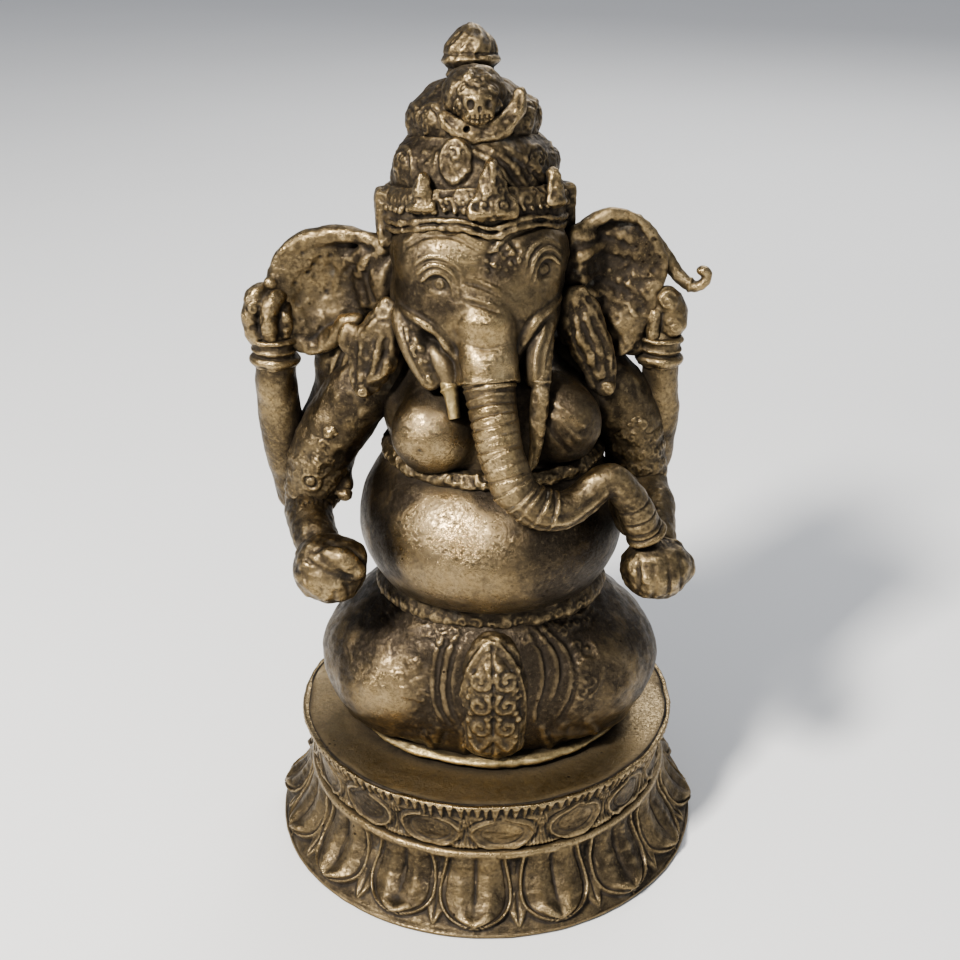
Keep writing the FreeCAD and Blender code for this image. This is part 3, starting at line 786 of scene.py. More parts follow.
def sculpt_upper_tier():
    low, high = (np.array(corner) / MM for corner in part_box("lotus_base_upper"))
    rim, base, top = high[0], low[2], high[2]
    outer = [(rim - 9.5, base + 0.1), (rim - 7.0, base + 0.6), (rim - 5.6, base + 2.4),
             (rim - 6.6, base + 4.6),
             (rim - 6.6, base + 9), (rim - 5.6, base + 15), (rim - 4.0, base + 21), (rim - 2.2, base + 26),
             (rim - 0.9, top - 1.6), (rim - 0.7, top - 0.8), (rim - 1.3, top - 0.15), (rim - 2.6, top - 0.1)]
    inner = [(rim - 4.0, top - 0.6), (rim - 7.0, top - 4.5), (rim - 12.0, base + 16),
             (rim - 14.0, base + 0.1)]
    return turned_mesh(outer, inner, int(1040 / COARSEN), int(66 / COARSEN), upper_relief)


def sculpt_seat():
    """Smooth, faintly uneven disc set inside the lip of the upper tier, with the spigot's socket."""
    low, high = (np.array(corner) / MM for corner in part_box("seat_plate"))
    edge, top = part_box("lotus_base_upper")[1].x / MM - 2.2, high[2]
    outer = [(12.6, low[2]), (12.6, top - 0.6), (13.2, top), (30.0, top), (60.0, top), (84, top),
             (edge - 1.6, top), (edge - 0.4, top - 0.2), (edge, top - 0.6)]
    inner = [(edge - 0.5, top - 1.6), (edge - 3.4, top - 1.9), (edge - 5.0, low[2]), (16.0, low[2])]

    def relief(angle, share, radius):
        shape = np.broadcast_shapes(angle.shape, share.shape)
        away = step_up(radius, 16, 24)
        uneven = 0.30 * lumps(shape, (50, 14), 21) + 0.12 * lumps(shape, (14, 5), 22)
        nicks = step_up(radius, edge - 3, edge) * (0.5 * lumps(shape, (9, 30), 23) + 0.5 * np.cos(16 * angle))
        return away * (0.3 - uneven + 0.5 * nicks)

    return turned_mesh(outer, inner, int(420 / COARSEN), int(80 / COARSEN), relief)


# ---- the figure's castings --------------------------------------------------------------------------
LAP = [(4.3, 2, -10, 64, 53), (9, 2, -10.5, 70, 55.5), (15, 2, -11, 77, 58), (28, 1.5, -11, 84, 60.5),
       (41, 1.5, -11, 86, 61.5), (54, 1, -11, 81, 60), (66, 0.5, -10, 70, 55.5), (76, 1.5, -8, 60, 50),
       (84, 2, -6, 50, 43)]
TORSO = [(80, 2, -9, 44, 38), (84, 2, -10, 50, 45), (91, 2, -12, 57, 55), (103, 2, -14, 62, 61.5),
         (119, 2, -14, 63.5, 64), (135, 2, -13, 60.5, 60), (146, 2, -11, 55, 53), (152, 3, -9, 51, 47),
         (158, 3, -7, 50, 44), (170, 3, -6, 53, 44), (183, 3, -4, 55, 42), (195, 1, -1, 50, 37),
         (208, -2, 1, 38, 30), (217, -4, 2, 28, 24)]


def sculpt_sole():
    """Thin ragged hem under the crossed legs, standing out as a bright ledge at the front."""
    clay = Clay((-72, -75, -1), (78, 56, 9), 0.80, 31)
    clay.add(stack([(0.3, 2, -9, 66, 55.5), (1.2, 2, -9.3, 69.5, 59.0), (3.2, 2, -9.5, 71.6, 61.2),
                    (5.0, 2, -9.4, 71.2, 60.8), (6.6, 2, -9.2, 68.8, 58.6)]))
    clay.roughen((16, 1.0), (7, 0.5), (2.6, 0.2))
    clay.add(ball((12, -66.5, 3.0), (5, 3.4, 2.6)), 1.5)
    clay.add(ball((2, -66.5, 1.8), (3.4, 3.0, 1.6)), 1.0)
    clay.keep_side((0, 0, 0.35), (0, 0, -1))
    return clay.mesh()


def sculpt_lap():
    clay = Clay((-88, -76, 3), (91, 54, 92), 0.91, 32)
    clay.add(stack(LAP))
    for side in (-1, 1):
        clay.add(ball((1.5 + side * 48, -20, 37), (33, 41, 31)), 12)
        clay.stroke(smooth_path([(2 + side * 30, -66, 19), (2 + side * 52, -60, 13),
                                 (2 + side * 70, -42, 13)], 14),
                    3.2, 1.2)
    clay.add(ball((-45, -44, 40), (23, 20, 21)), 10)
    # broad flat band where the robe meets the belly
    clay.add(ball((2, -44, 66), (40, 22, 15)), 9)
    # curved ridges of the robe either side of the sash
    right_ridges = [[(-20, -58, 76), (-25, -62, 66), (-27, -68, 50), (-25.5, -70, 38), (-21, -70, 29)],
                    [(-15, -60, 75), (-19, -64, 66), (-21.5, -69, 51), (-20, -71, 39), (-16, -71, 30)]]
    left_ridges = [[(19, -60, 76), (25, -64, 66), (26.5, -69, 52), (24, -71, 40), (23, -70, 29)],
                   [(26, -57, 77), (36, -58, 68), (41, -60, 56), (39, -65, 42), (34, -68, 30)],
                   [(22, -58, 77), (31, -61, 67), (34, -65, 55), (31, -69, 42)]]
    for line in right_ridges + left_ridges:
        path = smooth_path(line, 20)
        clay.stroke(path, 1.3, 1.0, taper=0.6)
        clay.stroke(path + (2.7, 0, 0), 1.1, -1.1, taper=0.6)
    # engraved sprays on both thighs
    right_spray = [(-37, -62, 57), (-42, -62, 52), (-33, -64, 50), (-39, -64, 46), (-32, -66, 43),
                   (-35, -66, 58)]
    left_spray = [(44, -60, 64), (49, -58, 58), (46, -60, 52), (51, -58, 49), (45, -62, 58), (47, -62, 44)]
    clay.scrollwork(right_spray, 3.6, 1.2, 2.2, FRONT)
    clay.scrollwork(left_spray, 3.2, 1.0, 1.9, FRONT)
    clay.dab([(43 + 3.0 * i, -60, 47 + 3.4 * j + i) for i in range(3) for j in range(5)], 1.4, 1.3)
    clay.dab([(-41 + 3.4 * i, -62, 44 + 3.6 * j - i) for i in range(3) for j in range(4)], 1.3, 1.1)
    clay.stroke(smooth_path([(52, -58, 64), (57, -56, 55), (55, -58, 46), (51, -60, 41)], 14), 1.0, 1.2)
    # vine across the band at the top of the thighs
    for side in (-1, 1):
        way = (side * 0.35, -0.75, 0.55)
        vine = smooth_path([(2 + side * 15, -60, 75), (2 + side * 27, -55, 74), (2 + side * 39, -47, 75),
                            (2 + side * 52, -35, 77)], 20)
        vine = vine + np.stack([np.zeros(20), np.zeros(20), 1.6 * np.sin(np.arange(20) * 1.1)], 1)
        clay.stroke(vine, 0.9, 1.1, way)
        clay.scrollwork(vine[1::2] + (0, 0.5, 3.2), 2.5, 0.8, 1.1, way)
        clay.scrollwork(vine[0::2] - (0, 0.5, 3.4), 2.4, 0.8, 1.0, way)
        clay.stroke(vine - (0, 1.5, 7.5), 0.8, -0.5, way)
    # low folds between the robe edge and the hem
    for x, lean in ((-35, 5), (-24, -3), (-13, 1), (27, 3), (38, -4), (50, 5)):
        clay.stroke([(x, -66, 25), (x + lean, -62, 14), (x + 1.6 * lean, -58, 7)], 2.2, 1.2, taper=0.5)
        clay.stroke([(x + 3.5, -66, 22), (x + 3.5 + lean, -62, 12)], 1.3, -0.8, taper=0.5)
    clay.roughen((26, 1.0), (9, 0.45), (4, 0.22), (2.0, 0.08))
    clay.keep_side((0, 0, 4.2), (0, 0, -1))
    return clay.mesh()


def sculpt_sash():
    clay = Clay((-20, -82, 3), (26, -46, 84), 0.46, 33)
    clay.add(ball((3, -63.5, 41), (18.6, 11.5, 37)))
    clay.add(slab((3, -64.5, 33), (15.0, 9.5, 24), 8), 5)
    clay.add(ball((3, -64, 51), (16.5, 13.5, 23)), 5)
    clay.stroke(smooth_path([(2.6, -80, 78), (3, -80, 50), (3, -80, 7)], 12), 0.8, -0.9)
    border = smooth_path([(-12, -72, 12), (-13.5, -72, 36), (-11, -70, 56), (-5, -66, 69), (2, -64, 75),
                          (10, -66, 70),
                          (16.5, -70, 56), (19, -72, 36), (17.5, -72, 12)], 44)
    clay.stroke(border, 1.0, 1.0)
    clay.stroke((border - (3, 0, 41)) * (0.84, 1, 0.90) + (3, 0, 41), 0.8, -0.7)
    for row, size in ((58, 5.4), (44, 5.6), (30, 4.8)):
        for side in (-1, 1):
            start = 90 + side * 60 + clay.random.uniform(-18, 18)
            line = spiral((3 + side * 6.6, -76, row), size, 1.15, start, side, count=26)
            clay.stroke(line, 1.45, 2.6)
            clay.dab([(3 + side * 3.0, -78, row + 5.8), (3 + side * 11.0, -75, row - 5.6),
                      (3 + side * 12.2, -75, row + 3.8)], 1.5, 1.9)
        clay.dab([(3, -79, row - 6.4)], 1.8, 1.6)
    for side in (-1, 1):
        clay.stroke(smooth_path([(3 + side * 2, -76, 22), (3 + side * 7, -76, 16),
                                 (3 + side * 11, -74, 21)], 12),
                    1.3, 1.8)
    clay.stroke([(5, -74, 14), (5.4, -72, 6)], 2.2, 1.4)
    clay.roughen((7, 0.55), (3, 0.45), (1.6, 0.2))
    clay.keep_side((0, 0, 4.4), (0, 0, -1))
    return clay.mesh()


def sculpt_girdle():
    """Low worked band where the belly rests on the lap."""
    clay = Clay((-62, -66, 74), (66, 46, 92), 0.70, 34)
    clay.add(stack([(77, 2, -10, 57.0, 50.2), (80, 2, -10, 58.2, 51.6), (83, 2, -10, 57.4, 51.2),
                    (86, 2, -10, 55.6, 50.2), (88, 2, -10, 54.0, 49.0)]))
    for k in range(52):
        angle = 2 * math.pi * k / 52
        way = (math.sin(angle), -math.cos(angle), 0.5)
        spot = (2 + 60 * math.sin(angle), -10 - 53 * math.cos(angle), 81.5 + clay.random.uniform(-1.0, 1.0))
        clay.scrollwork([spot], 2.5, 0.8, 0.9, way)
    clay.roughen((8, 0.8), (4, 0.5), (2, 0.25))
    return clay.mesh()


def sculpt_torso():
    clay = Clay((-66, -82, 76), (72, 54, 220), 0.96, 35)
    clay.add(stack(TORSO))
    clay.add(ball((2, -14, 117), (63.5, 64.5, 39)), 6)
    clay.add(ball((-24, -43, 174), (20, 17, 19.5)), 5)
    clay.add(ball((35, -40, 178), (18.5, 16, 19.5)), 5)
    clay.add(ball((3, -30, 190), (38, 14, 16)), 10)
    clay.roughen((34, 1.2), (12, 0.42), (5, 0.18))
    clay.dab([(-31, -60, 172.4)], 1.2, -2.0)
    clay.dab([(-29, -60, 171.5)], 0.9, -0.9)
    clay.dab([(-1.5, -79, 116.5), (0.4, -79, 116.2)], 1.1, -0.9)
    clay.dab([(8.6, -79, 115.8)], 1.2, -0.8)
    clay.stroke([(4, -76, 106), (4.4, -70, 92), (4.6, -64, 84)], 0.9, -0.45)
    clay.stroke(smooth_path([(20, -52, 196), (34, -54, 190), (44, -50, 182)], 12), 1.4, 0.8)
    clay.stroke(smooth_path([(22, -52, 190), (34, -54, 184), (42, -52, 176)], 12), 1.2, 0.7)
    clay.stroke(smooth_path([(26, -56, 190), (30, -56, 180), (38, -54, 170)], 12), 1.2, -0.6)
    across = clay.random.uniform(-44, 48, 14)
    spots = [(x, -79 + 0.012 * (x - 2) ** 2, clay.random.uniform(92, 140)) for x in across]
    clay.dab(spots, 0.9, -0.45)
    return clay.mesh()


def sculpt_chest_band():
    """Thin rough line of beads under the breasts."""
    clay = Clay((-58, -64, 148), (64, 46, 164), 0.56, 36)
    clay.add(stack([(150, 3, -8, 52.6, 48.6), (152, 3, -8, 54.4, 50.6), (155, 3, -8, 54.6, 50.6),
                    (158, 3, -8, 52.4, 48.2)]))
    for k in range(96):
        angle = 2 * math.pi * k / 96
        way = (math.sin(angle), -math.cos(angle), 0)
        spot = (3 + 57 * math.sin(angle), -8 - 52 * math.cos(angle), 153.5 + clay.random.uniform(-1.3, 1.3))
        clay.dab([spot], clay.random.uniform(0.9, 1.5), clay.random.uniform(0.7, 1.4), way)
    clay.roughen((5, 0.7), (2.6, 0.6), (1.4, 0.3))
    return clay.mesh()


# ---- head -------------------------------------------------------------------------------------------
BULGE = [(-4, -32, 250, 10), (-3, -38, 240, 12), (-1.5, -44, 229, 12.4), (-0.6, -46.6, 222.5, 11.6),
         (0, -48.6, 216, 12.6), (1, -53, 203, 12.6), (1, -55, 197, 12.2)]


def eye(clay, centre, side, way):
    """Small eye under arched lids that sweep down beside the trunk; side is -1 on the figure's right."""
    centre = np.array(centre, float)
    way = unit(way)
    out = unit(np.cross(way, (0, 0, 1))) * (1 if side < 0 else -1)
    out = out * (-1 if np.dot(out, (side, 0, 0)) < 0 else 1)
    up = np.array((0, 0, 1.0))

    def at(a, b):
        """Point a mm towards the temple and b mm up from the eye."""
        return centre + out * a + up * b

    clay.dab([at(1.5, -1.0), at(-1.5, -1.0), at(0, 1.0)], 3.6, -1.5, way)
    surface = clay.settle([at(0, -0.5)], way)[0]
    clay.add(ball(surface - way * 1.9, (3.7, 3.7, 3.2)), 0.6)
    lids = [[(6.6, 1.0), (3.2, 4.2), (-0.8, 4.6), (-4.4, 1.6), (-6.6, -4.6)],
            [(8.4, 4.2), (3.6, 8.0), (-1.6, 8.2), (-6.4, 4.0), (-9.0, -4.6)],
            [(10.0, 8.0), (4.2, 11.8), (-2.2, 11.6), (-8.2, 7.6), (-11.0, 0.0)]]
    for k, lid in enumerate(lids):
        path = smooth_path([at(*spot) for spot in lid], 22)
        clay.stroke(path, 1.05, 1.7 - 0.35 * k, way, taper=0.6)
        clay.stroke(path - up * 1.9, 0.8, -0.9 + 0.15 * k, way, taper=0.6)
    lower = smooth_path([at(5.2, -2.4), at(1.6, -4.8), at(-3.0, -4.8)], 14)
    clay.stroke(lower, 0.9, 0.7, way, taper=0.8)
    clay.stroke(ring_points(at(-0.2, -0.6), 1.7, count=14, across=out, up=up), 0.5, 0.5, way)
    clay.dab([at(-0.2, -0.6)], 0.8, -0.7, way)


def sculpt_head():
    clay = Clay((-50, -68, 184), (42, 38, 286), 0.66, 41)
    clay.add(ball(HEAD, (41, 43.0, 43.5), HEAD_TURN))
    clay.add(ball(from_head((0, 0, 22)), (41.6, 42.0, 25), HEAD_TURN), 4)
    for side, lean in ((-1, 20), (1, 18)):
        clay.add(ball(from_head((side * 17, -20, 16)), (21, 20, 20)), 10)
        clay.add(ball(from_head((side * lean, -19, -10)), (15, 17, 18)), 8)
    # root of the trunk, cut off clean where the trunk casting starts
    root = Clay((-50, -68, 184), (42, 38, 286), 0.66, 40)
    root.tube(BULGE, 3)
    root.add(ball((-1.5, -46.5, 231.5), (13.8, 13.6, 9.8)), 2)
    root.add(ball((0, -50.0, 213.8), (13.8, 14.4, 9.8)), 2)
    root.keep_side((1.0, -54.6, 203.2), (0.05, -0.45, -0.9))
    clay.add(ball((-1.5, -38, 237), (19.5, 14.5, 13)), 8)
    clay.add(ball((-30, -37, 222), (8.5, 8, 14), turn_about("y", 24)), 5)
    clay.field = smooth_min(clay.field, root.field, 4.5)
    clay.cut(ball((-27, -50, 219), (6.5, 7, 7)), 3)
    clay.roughen((24, 0.9), (8, 0.38), (3.4, 0.16))

    eye(clay, (-20.5, -47, 248.5), -1, (-0.42, -0.9, 0.06))
    eye(clay, (24.0, -38, 253), 1, (0.58, -0.8, 0.06))
    # wrinkles between the eyes and the crease across the root of the trunk
    for line, height in (([(-10, -52, 251.5), (-3, -53, 249.8), (5, -53, 246.5)], 1.1),
                         ([(-9, -54, 243.6), (-2, -55, 242), (4, -54, 239.8)], 1.2),
                         ([(-11, -50, 259.5), (-4, -50, 258.4), (1, -50, 258)], 0.6),
                         ([(-10, -50, 263.5), (-3, -50, 262.6), (2, -50, 262)], 0.6)):
        path = smooth_path(line, 14)
        clay.stroke(path, 0.75, height, taper=0.5)
        clay.stroke(path - (0, 0, 1.9), 0.8, -height, taper=0.5)
    clay.stroke(ring_points((1.5, -56, 240.6), 1.2, 0.7, 12), 0.5, 0.8)
    clay.stroke(smooth_path([(-12, -58, 224.4), (-1, -62, 222.2), (11, -58, 224.4)], 16), 2.2, -1.5,
                taper=0.8)
    clay.stroke(smooth_path([(-10, -60, 223.6), (-1, -62, 222.0), (9, -60, 223.6)], 14), 0.7, -0.9, taper=0.7)
    clay.stroke(smooth_path([(-10, -54, 238), (-13.4, -50, 228), (-12.6, -50, 218)], 12), 2.0, -0.7,
                (-0.5, -0.85, 0))
    clay.stroke(smooth_path([(10, -54, 240), (13.4, -48, 230), (13.6, -50, 218)], 12), 2.0, -0.8,
                (0.5, -0.85, 0))
    # folds of the brow under the diadem, dipping between the eyes
    folds = [[(-36, -30, 262), (-26, -40, 270), (-14, -44, 271), (-4, -46, 266), (1, -46, 263)],
             [(4, -46, 264), (10, -44, 270), (18, -40, 273), (27, -30, 272), (34, -18, 266)],
             [(-32, -34, 268), (-22, -40, 275), (-12, -44, 275)]]
    for fold in folds:
        path = smooth_path(fold, 22)
        clay.stroke(path, 1.6, 1.3, (0, -0.9, 0.3), taper=0.5)
        clay.stroke(path - (0, 0, 2.8), 1.1, -0.9, (0, -0.9, 0.3), taper=0.5)
    # corroded patch at the meeting of the folds
    near = clay.random.uniform(-1, 1, (40, 2)) * (8.5, 6.5)
    patch = np.stack([6 + near[:, 0], np.full(40, -48.0), 260 + near[:, 1]], 1)
    clay.dab(patch[:24], 1.1, 1.0)
    clay.dab(patch[24:], 1.0, -1.5)
    # cheek sheaths of the tusks
    right = smooth_path([(-40, -32, 233), (-33, -42, 231.5), (-27, -48, 229), (-20, -51, 221),
                         (-15.5, -53, 212),
                         (-13, -55, 205)], 26)
    left = smooth_path([(33, -28, 235), (27, -38, 233), (21.5, -45, 229.5), (17.5, -49, 219),
                        (16, -51, 208)], 26)
    for path, way in ((right, (-0.4, -0.9, 0.1)), (left, (0.45, -0.88, 0.1))):
        clay.stroke(path, 1.9, 2.8, way, taper=0.55)
        clay.stroke(path + np.array((3.2 if way[0] < 0 else -3.2, 0, 1.5)), 1.3, -1.2, way, taper=0.5)
    # sheath leaves that the tusks come out of
    clay.tube([(-25, -44.5, 216, 3.4), (-20, -48.5, 210, 4.0), (-16.5, -50.5, 203, 3.4)], 2.0)
    clay.tube([(-41, -34, 230, 2.2), (-36, -41, 221, 3.6), (-31, -45, 211, 3.8),
               (-25.5, -48.5, 200.5, 2.4)], 3.0)
    clay.tube([(-34, -40, 224, 2.6), (-29, -44.5, 213, 3.4), (-23.5, -48, 202, 2.4)], 3.0)
    crust = clay.random.uniform(0, 1, (34, 2))
    places = [(-39 + 13 * a + 3.5 * b, -50, 226 - 24 * a + 3 * b) for a, b in crust]
    clay.dab(places[:20], 1.2, 0.8, (-0.4, -0.9, 0.1))
    clay.dab(places[20:], 1.0, -0.8, (-0.4, -0.9, 0.1))
    clay.stroke(smooth_path([(-38, -42, 226), (-33, -46, 216), (-26, -50, 203)], 14), 0.8, -0.7,
                (-0.5, -0.85, 0.1))
    clay.tube([(28.5, -34, 229, 3.0), (25, -42, 222, 4.0), (22.5, -46, 212, 4.4), (22, -48, 203, 4.2)], 2.0)
    for shift in (-2.4, 1.6):
        clay.stroke(smooth_path([(28 + shift, -42, 227), (24.5 + shift, -50, 216),
                                 (23.5 + shift, -52, 204)], 14),
                    0.8, 0.9, (0.3, -0.95, 0))
    clay.stroke([(-40, -26, 250), (-42, -22, 240), (-41, -24, 232)], 2.0, -1.0, (-1, -0.5, 0))
    clay.stroke([(34, -16, 244), (35, -14, 232), (33, -18, 218)], 2.0, -1.2, (1, -0.4, 0))
    return clay.mesh()


TRUNK = [(0.8, -52, 207, 12.2), (1.8, -56, 199, 11.7), (3.8, -64, 187, 10.6), (7.0, -71, 173, 10.2),
         (12.5, -75.5, 161, 10.0), (22, -77.5, 152.5, 9.6), (33.5, -76, 150, 8.9), (43.5, -72, 154, 8.2),
         (51.5, -69, 161, 7.6), (58.5, -67.5, 161, 7.3), (65.5, -65.5, 151, 7.6), (70, -64.5, 142, 8.2),
         (74, -63, 132.5, 9.1)]


def sculpt_trunk():
    clay = Clay((-15, -90, 120), (88, -36, 212), 0.54, 42)
    path = smooth_path(TRUNK, 110)
    clay.tube(TRUNK, 0, 60)
    clay.keep_side((0.8, -54, 203.6), (-0.05, 0.4, 0.9))
    clay.roughen((9, 0.6), (4, 0.32), (2, 0.14))
    clay.collar((1.2, -54.5, 202.2), (0.05, -0.45, -0.9), 12, 0.9, 0.7)
    tip = path[-1]
    tangent = unit(path[-1, :3] - path[-4, :3])
    clay.keep_side(tip[:3] + tangent * 2.6, tangent)
    length = np.concatenate([[0], np.cumsum(np.linalg.norm(np.diff(path[:, :3], axis=0), axis=1))])
    spot = 5.0
    while spot < 74:
        i = int(np.searchsorted(length, spot))
        way = unit(path[min(i + 1, 109), :3] - path[i - 1, :3])
        lean = unit(way + clay.random.normal(0, 0.06, 3))
        aim = (-0.45, -1, 0.1) if spot < 58 else (-0.1, -0.75, 0.6)
        clay.collar(path[i, :3], lean, path[i, 3], 0.6, -clay.random.uniform(0.35, 0.9), aim)
        clay.collar(path[i, :3] + way * 1.5, lean, path[i, 3], 0.7, clay.random.uniform(0.2, 0.7), aim)
        spot += clay.random.uniform(4.0, 5.6)
    for spot in (124, 130.5, 137, 143, 149):
        i = min(int(np.searchsorted(length, spot)), 108)
        way = unit(path[i + 1, :3] - path[i - 1, :3])
        clay.collar(path[i, :3], way, path[i, 3], 0.6, -0.5, (0.3, -0.8, 0.5))
    side = unit(np.cross(tangent, (0, -1, 0.4)))
    clay.collar(tip[:3] + tangent * 1.2, tangent, tip[3] + 0.3, 1.4, 0.8)
    for shift in (-3.2, 3.2):
        clay.cut(ball(tip[:3] + tangent * 4.5 + side * shift, (1.9, 1.9, 4.5)), 0.8)
    # lengthwise ridges along the lower bend
    for drop, lift in ((0.0, 0.9), (-3.4, -0.9), (3.6, -0.6)):
        under = smooth_path([(13, -84, 157 + drop), (24, -86, 149 + drop), (36, -84, 148.5 + drop),
                             (46, -80, 153 + drop), (54, -78, 159 + drop)], 24)
        clay.stroke(under, 1.0, lift, (0, -1, 0.1), taper=0.6)
    return clay.mesh()


def sculpt_tusk_left():
    """Long slim tusk whose point hooks towards the trunk."""
    clay = Clay((14, -66, 156), (36, -28, 230), 0.42, 43)
    clay.tube([(26, -38, 222, 4.6), (24.5, -47, 207, 4.7), (23.6, -51.5, 197, 4.2), (23.2, -54, 185, 3.9),
               (22.8, -55.5, 174, 3.3), (21.6, -56, 166, 2.3), (19.6, -56.5, 161.5, 1.2)], 0, 30)
    clay.roughen((7, 0.8), (3, 0.4), (1.5, 0.15))
    clay.collar((24, -49, 202), (0, -0.4, -0.9), 4.7, 0.7, 0.7)
    return clay.mesh()


def sculpt_tusk_right():
    """Stub of the broken tusk with its bright broken end."""
    clay = Clay((-30, -60, 182), (-6, -28, 226), 0.42, 44)
    clay.tube([(-22, -40, 217, 4.8), (-17.6, -50, 204, 4.2), (-15.8, -53, 195, 3.4),
               (-14.8, -55, 187, 2.7)], 0, 20)
    clay.roughen((5, 0.5), (2.4, 0.3))
    clay.keep_side((-14.8, -55, 186.4), (0.2, -0.3, -0.93))
    clay.collar((-16.6, -51.6, 199.5), (0.3, -0.5, -0.8), 4.0, 0.7, 0.8)
    return clay.mesh()


# ---- ears -------------------------------------------------------------------------------------------
def sculpt_ear_right():
    """Broad shallow dish, pitted, with a thick rolled rim and soft folds beside the head."""
    clay = Clay((-107, -34, 194), (-36, 12, 266), 0.58, 45)
    clay.add(ball((-71, -4, 232), (33, 8.5, 27.5), turn_about("z", 8)))
    clay.add(ball((-88, -6, 219), (13, 6, 16)), 4)
    clay.add(ball((-50, -9, 240), (14, 10, 18)), 6)
    clay.cut(ball((-79, -20, 233), (24, 14, 22), turn_about("z", 6)), 5)
    rim = smooth_path([(-44, -16, 255), (-56, -12, 258.5), (-68, -9, 259.5), (-80, -8, 257.5), (-90, -7, 253),
                       (-97, -6, 246), (-101, -5, 237), (-102, -5, 227), (-99, -6, 216), (-94, -8, 209),
                       (-88, -9, 205), (-81, -10, 204), (-74, -12, 210), (-68, -15, 216), (-61, -18, 221)],
                       60)
    clay.tube(np.hstack([rim, 2.4 + 0.5 * np.sin(np.linspace(0, 9, 60))[:, None]]), 3.2, 60)
    clay.roughen((13, 1.1), (6, 0.55), (3, 0.30), (1.6, 0.12))
    clay.stroke(smooth_path([(-48, -22, 254), (-58, -18, 246), (-61, -18, 236), (-58, -20, 226)], 16), 2.4,
                1.6)
    clay.stroke(smooth_path([(-58, -18, 253), (-68, -16, 243), (-71, -16, 231), (-68, -18, 221)], 16), 2.0,
                1.0)
    clay.stroke(smooth_path([(-43, -24, 250), (-48, -22, 242), (-48, -22, 232)], 12), 2.0, 1.6)
    clay.stroke(smooth_path([(-53, -22, 250), (-56, -20, 240), (-53, -20, 230)], 12), 1.3, -1.2)
    spots = clay.random.uniform(-1, 1, (40, 2)) * (23, 20)
    places = np.stack([-78 + spots[:, 0], np.full(40, -14.0), 234 + spots[:, 1]], 1)
    clay.dab(places[:24], 1.0, -0.8)
    clay.dab(places[24:], 1.6, 0.7)
    clay.add(ball((-101.5, -10, 236), (3.2, 3.2, 3.2)), 1.5)
    return clay.mesh()


def sculpt_ear_left():
    """Ear with folds that run out from the head and a lower lobe drawn to a point."""
    clay = Clay((28, -34, 192), (92, 14, 274), 0.58, 46)
    clay.add(ball((59, -2, 240), (25, 8.5, 28.5), turn_about("z", -8)))
    clay.add(ball((66, -7, 218), (12, 7.5, 19), turn_about("y", -14)), 5)
    clay.add(ball((44, -11, 244), (11, 9, 19)), 6)
    clay.cut(ball((63, -21, 245), (17, 13, 18), turn_about("z", -8)), 5)
    rim = smooth_path([(38, -14, 258), (46, -11, 264), (55, -9, 268), (63, -8, 268), (71, -7, 264),
                       (78, -6, 255),
                       (82, -6, 246), (80, -8, 237), (76, -9, 231), (77, -9, 225), (74, -10, 218),
                       (69, -12, 211),
                       (63, -14, 203)], 56)
    clay.tube(np.hstack([rim, 2.1 + 0.4 * np.sin(np.linspace(1, 11, 56))[:, None]]), 3.0, 56)
    clay.roughen((12, 1.1), (6, 0.65), (3, 0.35), (1.6, 0.14))
    folds = [[(40, -22, 258), (54, -18, 261), (68, -12, 256)],
             [(40, -22, 250), (54, -18, 252), (72, -12, 245)],
             [(42, -22, 242), (55, -18, 242), (72, -12, 234)],
             [(44, -22, 234), (56, -18, 230), (70, -14, 222)],
             [(48, -22, 226), (58, -20, 220), (66, -16, 210)]]
    for k, fold in enumerate(folds):
        path = smooth_path(fold, 18)
        path = path + clay.random.normal(0, 0.5, 3) + (0, 0, 1.6 * math.sin(2.3 * k))
        clay.stroke(path, clay.random.uniform(1.6, 2.6), clay.random.uniform(0.5, 1.1), taper=0.7)
        clay.stroke(path - (0, 0, 3.6), 1.4, -clay.random.uniform(0.4, 0.9), taper=0.7)
    spots = clay.random.uniform(-1, 1, (26, 2)) * (16, 24)
    places = np.stack([62 + spots[:, 0], np.full(26, -14.0), 238 + spots[:, 1]], 1)
    clay.dab(places[:12], 1.1, -0.9)
    clay.dab(places[12:], 1.3, 0.7)
    return clay.mesh()


def pendant(clay, top, bottom, wide, way):
    """Long lobe with uneven curved folds and a curled bead at its lower end."""
    top, bottom, way = np.array(top, float), np.array(bottom, float), unit(way)
    down = unit(bottom - top)
    across = unit(np.cross(down, way))
    long = np.linalg.norm(bottom - top)
    middle = top + 0.48 * (bottom - top)
    clay.add(ball(middle - way * 0.5, (wide, 5.6, 0.58 * long), np.stack([across, way, down], 1)))
    clay.roughen((9, 1.0), (4, 0.5))
    for share in (-0.8, -0.2, 0.5):
        share = share + clay.random.uniform(-0.12, 0.12)
        start, end = clay.random.uniform(0.0, 0.2), clay.random.uniform(0.8, 0.98)
        line = smooth_path([top + start * long * down + across * wide * 0.3 * share,
                            top + 0.34 * long * down + across * wide * (0.95 * share + 0.1),
                            top + 0.64 * long * down + across * wide * 0.85 * share,
                            top + end * long * down + across * wide * 0.3 * share], 20)
        clay.stroke(line, clay.random.uniform(1.1, 1.9), clay.random.uniform(0.5, 1.1), way, taper=0.5)
        clay.stroke(line + across * wide * 0.24, 1.0, -clay.random.uniform(0.3, 0.8), way, taper=0.5)
    clay.add(ball(bottom - down * 1.0 + way * 1.6, (4.2, 3.6, 4.2)), 1.0)
    clay.stroke(spiral(bottom - down * 1.0, 3.0, 1.2, 60, 1, across, -down, 20), 0.7, 0.8, way)
    clay.roughen((6, 0.8), (3, 0.5), (1.6, 0.2))


